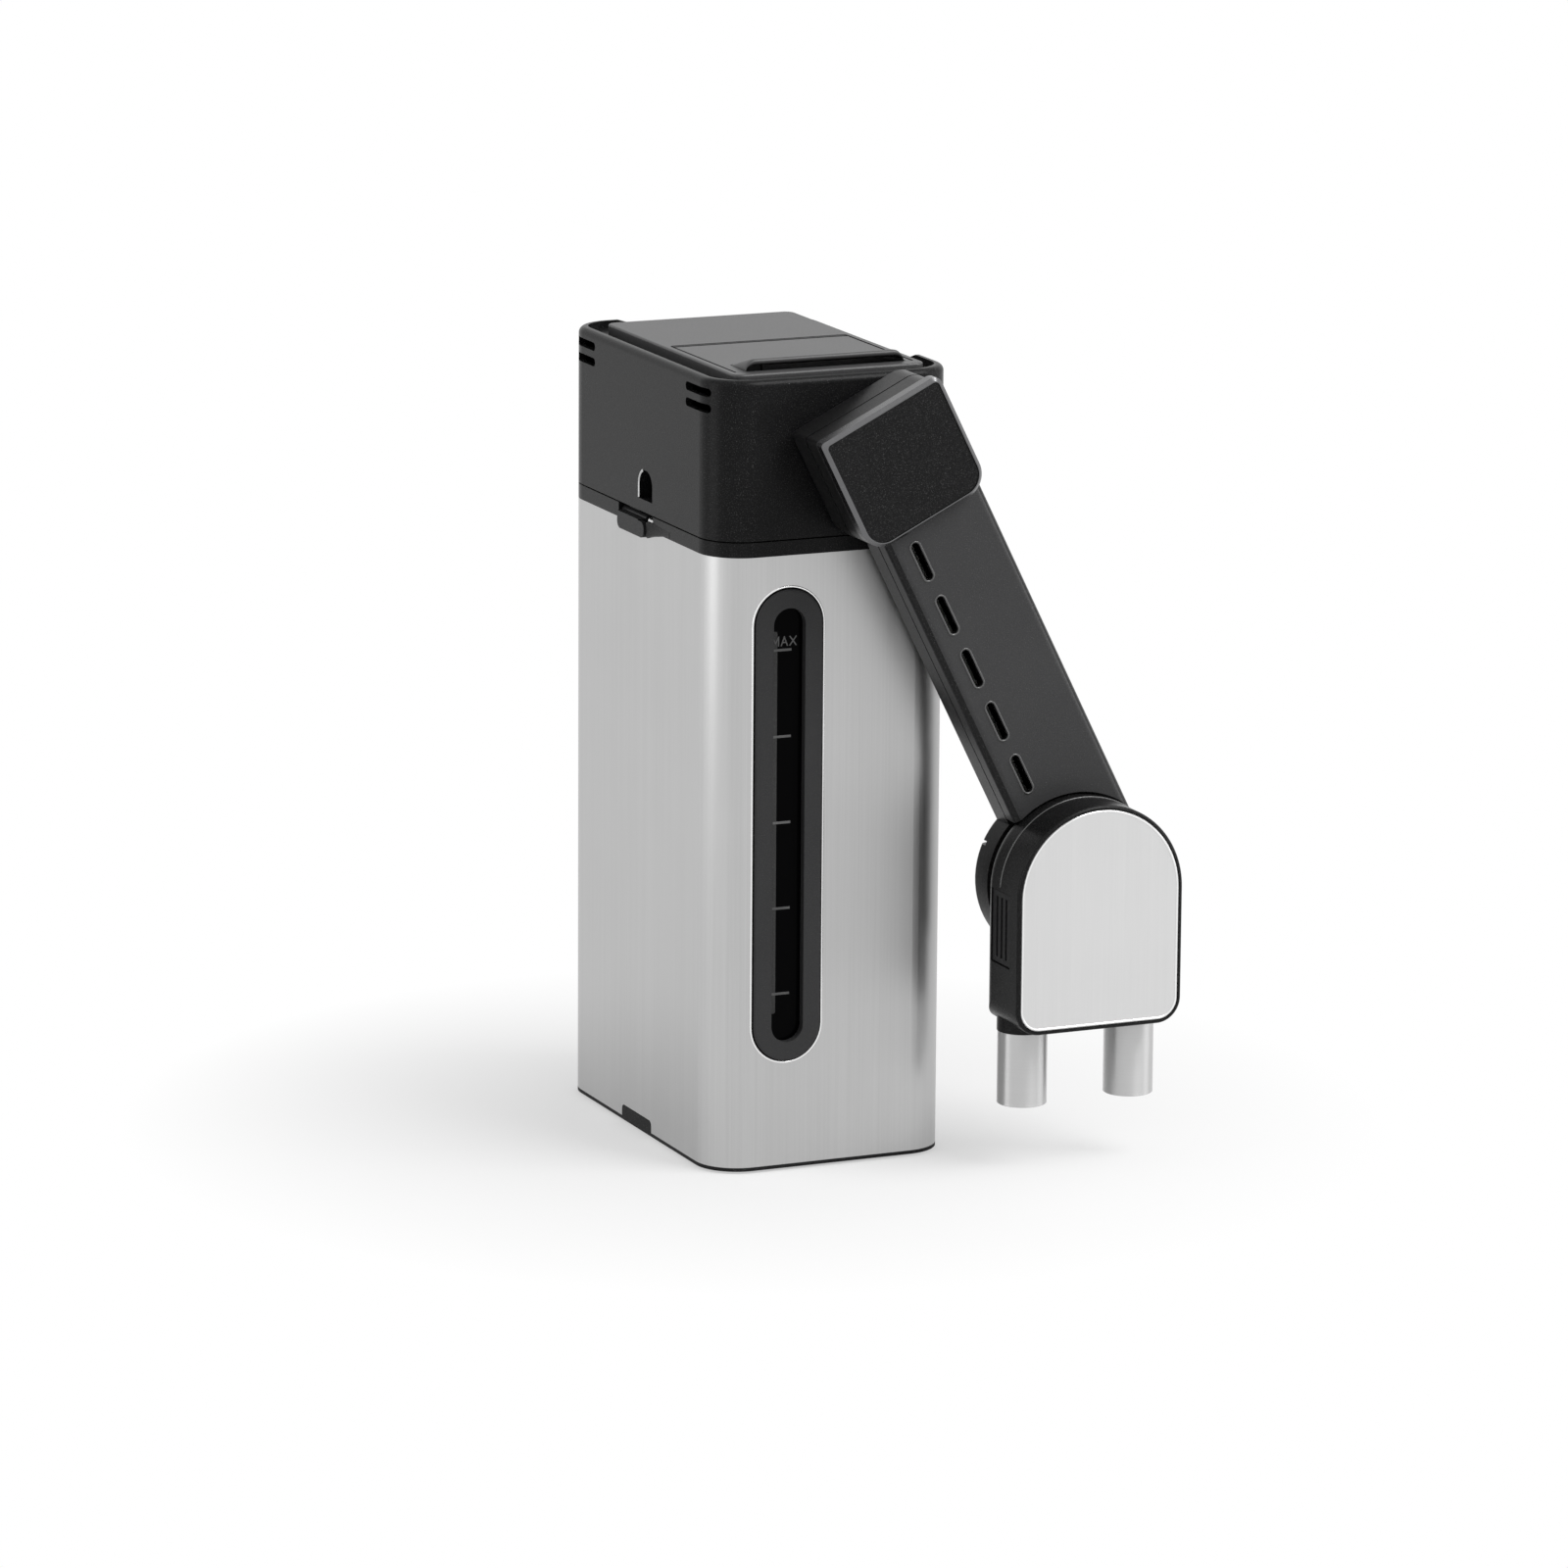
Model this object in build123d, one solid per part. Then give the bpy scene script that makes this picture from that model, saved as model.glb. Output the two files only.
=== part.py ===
from build123d import *
import math
import os

os.makedirs("parts", exist_ok=True)

# Sizes are in millimetres. The origin is the middle of the base on the table,
# +X runs along the window face, +Y away from it and +Z up.

# Tank
tank_width = 96.0
tank_depth = 145.0
corner_radius = 16.0
sleeve_thickness = 1.0
sleeve_bottom = 2.0
liner_wall = 2.2
liner_floor = 2.5
liner_top_drop = 0.5
nest_gap = 0.3
pan_wall = 2.5
pan_floor = 2.5
pan_upstand = 12.0
tab_width = 28.0
tab_height = 4.2
tab_offset = 1.0
pad_inset = 9.0
pad_height = 1.8
pad_proud = 0.6
pad_groove = 3.0
pad_groove_depth = 0.5
pad_border = 7.0

# Level window
window_inset = 29.0
window_bottom = 42.0
window_height = 177.5
window_top_margin = 12.5
bezel_width = 26.6
bezel_proud = 1.2
aperture_width = 12.7
bezel_lap = 3.0
pane_lap = 1.9
pane_thickness = 2.6
pane_recess = 3.1
gasket_thickness = 1.0
clamp_thickness = 2.0
clamp_lap = 2.5
mark_count = 5
mark_top_drop = 16.5
mark_low_rise = 17.5
mark_length = 8.0
mark_height = 0.9
mark_thickness = 0.2
letter_height = 3.2
letter_width = 2.4
letter_stroke = 0.45
letter_rise = 1.2

# Collar and latch
collar_height = 5.5
collar_width = 9.0
collar_skirt = 9.0
collar_skirt_wall = 2.0
seal_width = 2.6
seam_gap = 0.5
latch_back = 20.0
latch_front = -13.0
latch_depth = 6.0
latch_pin_radius = 0.8
latch_pin_inset = 3.0
latch_pin_drop = 3.1
latch_barrel_radius = 1.9
latch_lip_thickness = 1.6
latch_lip_drop = 3.2
latch_lip_height = 6.0
latch_hook_width = 9.0
latch_hook_rise = 4.4
latch_hook_thickness = 1.5
latch_nose = 1.0
latch_nose_height = 1.6
latch_swing_room = 4.0
spring_wire = 0.6
spring_length = 9.0
running_gap = 0.06

# Head
head_height = 59.4
head_wall = 2.5
rim_radius = 2.5
deck_drop = 2.9
deck_thickness = 2.5
rim_break_front = 30.0
rim_break_left = 20.0
rim_ramp = 9.0
vent_length = 20.0
vent_height = 3.2
vent_pitch = 5.9
vent_drop = 5.2
vent_inset = 29.0
head_floor_thickness = 3.0
boss_radius = 3.6
boss_inset = 12.0
screw_radius = 1.4
screw_head_radius = 2.6
screw_head_height = 1.6
screw_gap = 0.06
screw_bite = 8.0
screw_tip_gap = 2.0

# Lid, fill flap and fill duct
lid_side_margin = 9.8
lid_back_margin = 15.0
lid_front_margin = 6.5
lid_border = 6.0
lid_height = 4.2
lid_corner = 4.0
lid_skin = 2.0
flap_side_gap = 0.35
flap_margin = 3.0
flap_length = 59.5
flap_skin = 1.2
notch_corner = 4.5
notch_lip = 2.2
flap_pin_radius = 1.0
flap_barrel_gap = 0.4
finger_margin = 6.7
finger_offset = 1.0
finger_depth = 12.0
finger_drop = 6.0
duct_width = 40.0
duct_clearance = 3.5
duct_length = 33.0
duct_wall = 2.0
duct_tail = 6.0

# Probe socket and mains inlet
socket_y = -6.0
socket_rise = 4.6
socket_width = 12.6
socket_height = 11.2
socket_wall = 2.0
socket_depth = 6.0
socket_bore = 3.2
socket_body = 10.0
inlet_x = 14.0
inlet_rise = 38.0
inlet_width = 27.0
inlet_height = 18.0
inlet_wall = 2.0
inlet_depth = 18.0
inlet_pin_width = 4.0
inlet_pin_height = 2.0
inlet_pin_length = 11.0
inlet_pin_pitch = 14.0

# Pump, heater and board
pump_inset = 36.5
pump_radius = 17.0
pump_height = 15.0
pump_wall = 2.5
impeller_radius = 12.5
impeller_height = 6.0
impeller_blades = 6
pump_run_gap = 1.2
motor_radius = 15.0
motor_height = 28.0
shaft_radius = 1.6
intake_radius = 6.5
intake_wall = 1.5
intake_bottom = 30.0
strainer_radius = 10.0
strainer_height = 12.0
strainer_slots = 8
heater_inset = 32.5
heater_side_share = 0.14
pump_side_share = 0.26
heater_width = 32.0
heater_length = 30.0
heater_height = 20.0
heater_fins = 4
sensor_radius = 3.0
sensor_height = 9.0
board_width = 76.0
board_length = 48.0
board_thickness = 1.6
board_inset = 42.5
board_post = 4.0
board_post_radius = 2.5

# Hoses
hose_radius = 4.2
hose_bore = 2.8
hose_bend = 7.0
hose_wall_gap = 2.5
return_inset = 14.0
return_y = 10.0
return_tail = 8.0
arm_hose_radius = 2.9
arm_hose_bore = 2.0
arm_hose_spacing = 8.0
arm_hose_offset = 4.0
stub_length = 4.0
stub_gap = 0.1
stub_bore = 1.8

# Arm
arm_angle = 26.5
elbow_x = 86.8
elbow_drop = 132.5
arm_gap = 3.0
back_shell_depth = 13.0
front_cover_depth = 10.0
cap_depth = 5.5
shell_wall = 2.2
arm_left = -11.1
arm_right = 31.9
arm_edge_radius = 3.5
back_edge_radius = 3.0
hood_back_edge = 1.2
stop_notch_rise = 13.6
stop_notch_height = 1.5
stop_notch_reach = 24.5
stop_notch_depth = 5.0
stop_pad = 4.0
arm_top = 202.2
hood_left = -18.9
hood_right = 33.0
hood_bottom = 155.2
hood_corner = 9.0
hood_top_corner = 7.0
cover_tail = 12.0
spout_sweep_gap = 0.9
cap_rim = 1.6
cap_bevel = 1.2
cap_panel_inset = 0.4
cap_panel_depth = 2.5
groove_height = 0.8
groove_depth = 0.6
arm_slot_count = 5
arm_slot_first = 41.2
arm_slot_length = 15.6
arm_slot_width = 3.4
arm_slot_pitch = 23.1
arm_slot_offset = -1.4
spindle_radius = 9.0
spindle_flange = 14.0
spindle_flange_depth = 2.5
spindle_port = 2.5
spindle_port_offset = 4.2
bush_wall = 3.0
bush_length = 6.5
nut_depth = 4.0
nut_radius = 13.5
washer_radius = 21.0
union_half = 13.0
union_depth = 12.0
union_seat = 5.0
union_leg = 8.0
union_gap = 0.5

# Spout head
spout_half = 33.6
spout_drop = 51.2
spout_corner = 9.5
spout_gap = 0.3
spout_back_depth = 14.7
spout_front_depth = 14.0
spout_front_wall = 2.0
spout_rim = 1.5
spout_rim_height = 1.9
plate_thickness = 1.6
plate_gap = 0.15
spout_edge = 1.2
spout_back_round = 8.0
clip_rise = 0.5
clip_height = 27.0
clip_width = 15.5
clip_setback = 7.6
clip_gap = 0.4
clip_inset = 0.5
clip_travel = 2.0
clip_flange = 1.6
clip_flange_lap = 1.5
clip_rib = 0.8
clip_ribs = 3
clip_spring_radius = 3.0
clip_cup_depth = 4.0
clip_cup_wall = 1.5
clip_pad = 0.8
clip_pad_lap = 3.0
tube_side_gap = 2.15
tube_radius = 9.3
tube_wall = 0.9
tube_drop = 81.2
tube_setback = 24.0
tube_neck = 7.0
tube_neck_bore = 5.5
tube_collar_radius = 9.6
tube_collar_drop = 2.3
tube_collar_height = 5.0
manifold_height = 16.0
manifold_front = 13.0
manifold_neck = 14.0
manifold_neck_depth = 8.0
tube_seat = 10.0
cap_disc_radius = 16.0
shoulder_cap_depth = 9.5
elbow_plate_depth = 2.2
ring_groove = 0.9
ring_width = 1.0
ring_radius = 11.0
ring_room = 0.5
spout_screw_x = 19.5
spout_screw_top = 14.0
spout_screw_low = -26.0
arm_screw_left = -6.2
arm_screw_right = 25.6
arm_screw_low = 60.4
arm_screw_high = 129.7
small_boss = 2.6
arm_screw_bite = 4.6
spout_screw_bite = 8.6

# Levels and faces that follow from the sizes above
front_y = -tank_depth / 2
back_y = tank_depth / 2
left_x = -tank_width / 2
pan_bottom = pad_proud
sleeve_top = window_bottom + window_height + window_top_margin
collar_top = sleeve_top + collar_height
head_bottom = collar_top + seam_gap
head_top = head_bottom + head_height
deck_top = head_top - deck_drop
deck_bottom = deck_top - deck_thickness
floor_top = head_bottom + head_floor_thickness
lid_top = deck_top + lid_height
latch_lip_bottom = sleeve_top - latch_lip_drop
socket_bottom = head_bottom + socket_rise
inlet_z = head_bottom + inlet_rise
return_x = left_x + return_inset
elbow_z = head_bottom - elbow_drop
clip_top = elbow_z + clip_rise
tube_bottom = elbow_z - tube_drop
disc_radius = arm_right
arm_back = front_y - arm_gap
arm_split = arm_back - back_shell_depth
arm_front = arm_split - front_cover_depth
cap_front = arm_front - cap_depth
lean = math.radians(arm_angle)
shoulder_n = (hood_left + hood_right) / 2
shoulder_s = (hood_bottom + arm_top) / 2
shoulder_x = elbow_x + shoulder_n * math.cos(lean) - shoulder_s * math.sin(lean)
shoulder_z = elbow_z + shoulder_n * math.sin(lean) + shoulder_s * math.cos(lean)
spout_back = arm_split - spout_gap
spout_split = spout_back - spout_back_depth
spout_front = spout_split - spout_front_depth
spout_face = spout_front - spout_rim_height
spout_bottom = elbow_z - spout_drop
tube_y = arm_back - tube_setback
socket_x = left_x + head_wall
window_x = -(tank_width / 2 - window_inset)
lid_width = tank_width - 2 * lid_side_margin
lid_front = front_y + lid_front_margin
lid_back = back_y - lid_back_margin
flap_line = lid_front + lid_border
flap_back = flap_line + flap_length
finger_width = lid_width - 2 * finger_margin
nut_start = front_y + bush_length
nut_end = nut_start + nut_depth
union_front = nut_end + union_gap
union_back = union_front + union_depth
duct_front = union_back + duct_clearance
duct_back = duct_front + duct_length
spare_width = tank_width - 2 * head_wall - 2 * pump_radius - heater_width
heater_left = tank_width / 2 - head_wall - spare_width * heater_side_share - heater_width
heater_x = heater_left + heater_width / 2
heater_y = back_y - heater_inset
pump_x = left_x + head_wall + spare_width * pump_side_share + pump_radius
pump_y = back_y - pump_inset
board_y = back_y - board_inset
vent_start = back_y - vent_inset
tube_spacing = 2 * (spout_half - tube_collar_radius - tube_side_gap)


def block(x0, x1, y0, y1, z0, z1):
    return Pos((x0 + x1) / 2, (y0 + y1) / 2, (z0 + z1) / 2) * Box(x1 - x0, y1 - y0, z1 - z0)


def tank_prism(inset, z0, z1):
    corner = max(corner_radius - inset, 1.0)
    outline = RectangleRounded(tank_width - 2 * inset, tank_depth - 2 * inset, corner)
    return extrude(Pos(0, 0, z0) * outline, z1 - z0)


def front_prism(outline, y_back, y_front):
    plane = Plane(origin=(0, y_back, 0), x_dir=(1, 0, 0), z_dir=(0, -1, 0))
    return extrude(plane * outline, y_back - y_front)


def arm_prism(outline, y_back, y_front):
    plane = Plane(
        origin=(elbow_x, y_back, elbow_z),
        x_dir=(math.cos(lean), 0, math.sin(lean)),
        z_dir=(0, -1, 0),
    )
    return extrude(plane * outline, y_back - y_front)


def left_prism(outline, x_in, x_out):
    plane = Plane(origin=(x_in, 0, 0), x_dir=(0, -1, 0), z_dir=(-1, 0, 0))
    return extrude(plane * outline, x_in - x_out)


def rod_x(y, z, radius, x0, x1):
    plane = Plane(origin=(x0, 0, 0), x_dir=(0, 1, 0), z_dir=(1, 0, 0))
    return extrude(plane * Pos(y, z) * Circle(radius), x1 - x0)


def rod_y(x, z, radius, y0, y1):
    plane = Plane(origin=(0, y1, 0), x_dir=(1, 0, 0), z_dir=(0, -1, 0))
    return extrude(plane * Pos(x, z) * Circle(radius), y1 - y0)


def rod_z(x, y, radius, z0, z1):
    return extrude(Pos(x, y, z0) * Circle(radius), z1 - z0)


def corner_panel(x0, x1, y0, y1, low_left=0.0, low_right=0.0, top_right=0.0, top_left=0.0):
    sheet = Pos((x0 + x1) / 2, (y0 + y1) / 2) * Rectangle(x1 - x0, y1 - y0)
    corners = ((x0, y0, low_left), (x1, y0, low_right), (x1, y1, top_right), (x0, y1, top_left))
    for cx, cy, radius in corners:
        if radius > 0:
            vertex = sheet.vertices().sort_by_distance((cx, cy, 0))[0]
            sheet = fillet(vertex, radius)
    return sheet


def upright_slot(x, z0, height, width):
    return Pos(x, z0 + height / 2) * SlotOverall(height, width, rotation=90)


def hose(points, outer, bore):
    path = FilletPolyline(*points, radius=hose_bend) if len(points) > 2 else Line(*points)
    plane = Plane(origin=path @ 0, z_dir=path % 0)
    return sweep(plane * (Circle(outer) - Circle(bore)), path=path)


def screw(length):
    head = extrude(Pos(0, 0, -screw_head_height) * Circle(screw_head_radius), screw_head_height)
    slot = Pos(0, 0, -screw_head_height) * Box(screw_head_radius * 1.4, 0.7, 1.0)
    return head - slot + extrude(Circle(screw_radius), length)


def save(shape, name):
    shape.label = name
    export_step(shape, f"parts/{name}.step")


# Steel sleeve with its window and tab cut-outs
neck_width = bezel_width - 2 * bezel_lap
neck_height = window_height - 2 * bezel_lap
neck_bottom = window_bottom + bezel_lap
window_cut = front_prism(
    upright_slot(window_x, neck_bottom - nest_gap, neck_height + 2 * nest_gap, neck_width + 2 * nest_gap),
    front_y + sleeve_thickness + nest_gap + liner_wall + 1,
    front_y - 1,
)
tab_front = tab_offset - tab_width / 2
tab_back = tab_offset + tab_width / 2
tab_top = sleeve_bottom + tab_height
tab_cut = left_prism(
    corner_panel(
        -tab_back - nest_gap,
        -tab_front + nest_gap,
        sleeve_bottom - 1,
        tab_top + nest_gap,
        top_right=tab_height / 2,
        top_left=tab_height / 2,
    ),
    left_x + sleeve_thickness + nest_gap,
    left_x - 1,
)
steel_sleeve = tank_prism(0, sleeve_bottom, sleeve_top) - tank_prism(
    sleeve_thickness, sleeve_bottom - 1, sleeve_top + 1
)
steel_sleeve = steel_sleeve - window_cut - tab_cut
save(steel_sleeve, "steel_sleeve")

# Base pan with the tab that shows through the sleeve
pan_inset = sleeve_thickness + nest_gap
pan_rise = sleeve_bottom + pan_upstand
base_pan = tank_prism(0, pan_bottom, sleeve_bottom) + tank_prism(pan_inset, sleeve_bottom, pan_rise)
base_pan -= tank_prism(pan_inset + pan_wall, pan_bottom + pan_floor, pan_rise + 1)
tab = left_prism(
    corner_panel(
        -tab_back,
        -tab_front,
        sleeve_bottom - 0.5,
        tab_top,
        top_right=tab_height / 2,
        top_left=tab_height / 2,
    ),
    left_x + pan_inset + pan_wall / 2,
    left_x,
)
base_pan += tab
base_pan -= tank_prism(pad_inset - nest_gap, pan_bottom - 1, pad_height)
save(base_pan, "base_pan")

# Rubber base pad, let into the pan, with a border groove that keeps it flat
base_pad = tank_prism(pad_inset, 0, pad_height)
groove_outer = tank_prism(pad_inset + pad_border, -1, pad_groove_depth)
groove_inner = tank_prism(pad_inset + pad_border + pad_groove, -2, pad_groove_depth + 1)
base_pad -= groove_outer - groove_inner
save(base_pad, "base_pad")

# Water tank liner
liner_bottom = pan_bottom + pan_floor
liner_inset = pan_inset + pan_wall + nest_gap
liner_step = pan_rise + nest_gap
wide_inset = sleeve_thickness + nest_gap
liner_rim = sleeve_top - liner_top_drop
tank_liner = tank_prism(liner_inset, liner_bottom, liner_step) + tank_prism(wide_inset, liner_step, liner_rim)
tank_liner -= tank_prism(liner_inset + liner_wall, liner_bottom + liner_floor, liner_step + liner_floor)
tank_liner -= tank_prism(wide_inset + liner_wall, liner_step + liner_floor, liner_rim + 1)
tank_liner -= window_cut
save(tank_liner, "tank_liner")

# Level window: bezel, pane, gasket, clamp and printed marks
liner_face = front_y + wide_inset + liner_wall
pane_front = front_y - bezel_proud + pane_recess
pane_back = pane_front + pane_thickness
aperture_height = window_height - (bezel_width - aperture_width)
aperture_bottom = window_bottom + (bezel_width - aperture_width) / 2
aperture = upright_slot(window_x, aperture_bottom, aperture_height, aperture_width)
pane_outline = upright_slot(
    window_x, aperture_bottom - pane_lap, aperture_height + 2 * pane_lap, aperture_width + 2 * pane_lap
)
pocket_outline = upright_slot(
    window_x,
    aperture_bottom - pane_lap - nest_gap,
    aperture_height + 2 * pane_lap + 2 * nest_gap,
    aperture_width + 2 * pane_lap + 2 * nest_gap,
)
window_bezel = front_prism(
    upright_slot(window_x, window_bottom, window_height, bezel_width), front_y, front_y - bezel_proud
)
window_bezel = fillet(window_bezel.faces().sort_by(Axis.Y)[0].edges(), bezel_proud * 0.6)
window_bezel += front_prism(upright_slot(window_x, neck_bottom, neck_height, neck_width), liner_face, front_y)
window_bezel -= front_prism(aperture, liner_face + 1, front_y - bezel_proud - 1)
window_bezel -= front_prism(pocket_outline, liner_face + 1, pane_front)
save(window_bezel, "window_bezel")

save(front_prism(pane_outline, pane_back, pane_front), "window_pane")

clamp_front = liner_face + gasket_thickness
gasket_out = upright_slot(
    window_x,
    neck_bottom - clamp_lap,
    neck_height + 2 * clamp_lap,
    neck_width + 2 * clamp_lap,
)
gasket_in = upright_slot(
    window_x, neck_bottom - nest_gap, neck_height + 2 * nest_gap, neck_width + 2 * nest_gap
)
save(front_prism(gasket_out - gasket_in, clamp_front, liner_face), "window_gasket")

clamp_lip = front_prism(pane_outline - aperture, clamp_front + clamp_thickness, pane_back)
window_clamp = front_prism(gasket_out - aperture, clamp_front + clamp_thickness, clamp_front) + clamp_lip
save(window_clamp, "window_clamp")

mark_left = window_x - aperture_width / 2 + nest_gap


def mark_bar(x0, x1, z0, z1):
    return block(x0, x1, pane_front - mark_thickness, pane_front, z0, z1)


def letter_bar(x0, z0, x1, z1):
    length = math.hypot(x1 - x0, z1 - z0)
    turn = math.degrees(math.atan2(z1 - z0, x1 - x0))
    bar_outline = Rectangle(length + letter_stroke, letter_stroke, rotation=turn)
    placed = Pos((x0 + x1) / 2, (z0 + z1) / 2) * bar_outline
    return front_prism(placed, pane_front, pane_front - mark_thickness)


mark_top = aperture_bottom + aperture_height - mark_top_drop
mark_pitch = (aperture_height - mark_top_drop - mark_low_rise) / (mark_count - 1)
mark_levels = [mark_top - index * mark_pitch for index in range(mark_count)]
marks = [mark_bar(mark_left, mark_left + mark_length, level, level + mark_height) for level in mark_levels]
letter_base = mark_top + mark_height + letter_rise
letter_shapes = (
    ((0, 0, 0, 1), (0, 1, 0.5, 0.3), (0.5, 0.3, 1, 1), (1, 1, 1, 0)),
    ((0, 0, 0.5, 1), (0.5, 1, 1, 0), (0.25, 0.35, 0.75, 0.35)),
    ((0, 0, 1, 1), (0, 1, 1, 0)),
)
for index, strokes in enumerate(letter_shapes):
    start = mark_left + letter_stroke + index * (letter_width + 2.4 * letter_stroke)
    letter = None
    for x0, z0, x1, z1 in strokes:
        bar = letter_bar(
            start + x0 * letter_width,
            letter_base + z0 * letter_height,
            start + x1 * letter_width,
            letter_base + z1 * letter_height,
        )
        letter = bar if letter is None else letter + bar
    marks.append(letter)
level_marks = Compound(children=marks)
save(level_marks, "level_marks")

# Collar on the tank's mouth, with the latch pocket
skirt_inset = wide_inset + liner_wall + nest_gap
pin_x = left_x + latch_pin_inset
pin_z = collar_top - latch_pin_drop
collar = tank_prism(0, sleeve_top, collar_top)
collar += tank_prism(skirt_inset, sleeve_top - collar_skirt, sleeve_top)
collar -= tank_prism(collar_width, sleeve_top - 0.5, collar_top + 1)
collar -= tank_prism(skirt_inset + collar_skirt_wall, sleeve_top - collar_skirt - 1, sleeve_top)
collar -= block(left_x - 1, left_x + latch_depth, latch_front, latch_back, sleeve_top, collar_top + 1)
collar -= rod_y(pin_x, pin_z, latch_pin_radius + running_gap, latch_front - 2, latch_back + 2)
save(collar, "tank_collar")

seal_inset = collar_width - seal_width
collar_seal = tank_prism(seal_inset, collar_top, head_bottom) - tank_prism(
    collar_width, collar_top - 1, head_bottom + 1
)
save(collar_seal, "collar_seal")

save(rod_y(pin_x, pin_z, latch_pin_radius, latch_front - 2, latch_back + 2), "latch_pin")

barrel_front = latch_front + spring_length + 1
barrel_back = latch_back - 0.5
lip_out = left_x - nest_gap - latch_lip_thickness
lip_front = latch_front + 4.5
lip_back = latch_back - 3
hook_front = barrel_back - latch_hook_width - 3.5
hook_back = hook_front + latch_hook_width
hook_top = floor_top + latch_hook_rise
wall_in = left_x + head_wall
hook_out = wall_in + nest_gap
lever = rod_y(pin_x, pin_z, latch_barrel_radius, barrel_front, barrel_back)
lever += block(lip_out, pin_x, barrel_front, lip_back, pin_z - 0.8, pin_z + 0.8)
lip = block(
    lip_out,
    lip_out + latch_lip_thickness,
    lip_front,
    lip_back,
    latch_lip_bottom,
    latch_lip_bottom + latch_lip_height,
)
lip = fillet(lip.edges().filter_by(Axis.X), latch_lip_height * 0.45)
lever += lip
nose_bottom = hook_top - latch_nose_height
hook_in = hook_out + latch_hook_thickness
lever += block(hook_out, hook_in, hook_front, hook_back, pin_z, hook_top)
lever += block(hook_out - latch_nose, hook_in, hook_front, hook_back, nose_bottom, hook_top)
lever -= rod_y(pin_x, pin_z, latch_pin_radius + running_gap, latch_front - 2, latch_back + 2)
save(lever, "latch_lever")

coil_radius = latch_pin_radius + running_gap + spring_wire / 2 + 0.15
coil = Pos(pin_x, latch_front + 0.6, pin_z) * Rot(-90, 0, 0) * Helix(
    pitch=spring_wire * 1.6, height=spring_length - 1.2, radius=coil_radius
)
coil_plane = Plane(origin=coil @ 0, z_dir=coil % 0)
save(sweep(coil_plane * Circle(spring_wire / 2), path=coil, is_frenet=True), "latch_spring")

# Head shell with its deck, vents and openings
head_shell = tank_prism(0, head_bottom, head_top)
head_shell = fillet(head_shell.faces().sort_by(Axis.Z)[-1].edges(), rim_radius)
head_shell -= tank_prism(head_wall, head_bottom - 1, deck_bottom)
head_shell -= tank_prism(head_wall + 1.0, deck_top, head_top + 1)
side_break = Polyline(
    (front_y + rim_break_front, head_top + 1),
    (front_y + rim_break_front, head_top),
    (front_y + rim_break_front + rim_ramp, deck_top),
    (back_y + 1, deck_top),
    (back_y + 1, head_top + 1),
    close=True,
)
side_plane = Plane(origin=(0, 0, 0), x_dir=(0, 1, 0), z_dir=(1, 0, 0))
head_shell -= extrude(side_plane * make_face(side_break), tank_width / 2 + 1)
back_break = Polyline(
    (left_x + rim_break_left, head_top + 1),
    (left_x + rim_break_left, head_top),
    (left_x + rim_break_left + rim_ramp, deck_top),
    (tank_width / 2 + 1, deck_top),
    (tank_width / 2 + 1, head_top + 1),
    close=True,
)
head_shell -= front_prism(make_face(back_break), back_y + 1, 0)
duct_half = duct_width / 2
finger_x0 = finger_offset - finger_width / 2
finger_x1 = finger_offset + finger_width / 2
finger_back = flap_line + finger_depth
tray_wall = duct_wall
head_shell += block(
    finger_x0 - tray_wall,
    finger_x1 + tray_wall,
    flap_line - tray_wall,
    finger_back + tray_wall,
    deck_top - finger_drop - tray_wall,
    deck_bottom,
)
head_shell -= block(finger_x0, finger_x1, flap_line, finger_back, deck_top - finger_drop, head_top + 1)
head_shell -= block(
    -duct_half + duct_wall,
    duct_half - duct_wall,
    duct_front + duct_wall,
    duct_back - duct_wall,
    deck_bottom - 1,
    deck_top + 1,
)
for side in (-1, 1):
    for row in range(2):
        vent_mid = head_top - vent_drop - row * vent_pitch
        y_mid = side * (vent_start + vent_length / 2)
        head_shell -= left_prism(
            Pos(-y_mid, vent_mid) * SlotOverall(vent_length, vent_height), 0, left_x - 1
        )
socket_arch = corner_panel(
    -socket_y - socket_width / 2,
    -socket_y + socket_width / 2,
    socket_bottom,
    socket_bottom + socket_height,
    top_right=socket_width * 0.46,
    top_left=socket_width * 0.46,
)
head_shell -= left_prism(socket_arch, socket_x + 1, left_x - 1)
inlet_hole = block(
    inlet_x - inlet_width / 2 - nest_gap,
    inlet_x + inlet_width / 2 + nest_gap,
    back_y - head_wall - 1,
    back_y + 1,
    inlet_z - inlet_height / 2 - nest_gap,
    inlet_z + inlet_height / 2 + nest_gap,
)
head_shell -= inlet_hole
bush_radius = spindle_radius + running_gap + bush_wall
head_shell -= rod_y(shoulder_x, shoulder_z, bush_radius + nest_gap, front_y - 1, front_y + head_wall + 1)
head_shell -= block(
    hook_out - latch_nose - nest_gap,
    wall_in + 1,
    hook_front - nest_gap,
    hook_back + nest_gap,
    nose_bottom - nest_gap,
    hook_top + nest_gap,
)
boss_x = tank_width / 2 - boss_inset
boss_y = tank_depth / 2 - boss_inset
bosses_at = [(sx * boss_x, sy * boss_y) for sx in (-1, 1) for sy in (-1, 1)]
boss_hole_top = floor_top + screw_bite + screw_tip_gap
for px, py in bosses_at:
    head_shell += rod_z(px, py, boss_radius, floor_top, deck_bottom)
    head_shell -= rod_z(px, py, screw_radius + screw_gap, floor_top - 1, boss_hole_top)
save(head_shell, "head_shell")

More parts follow.
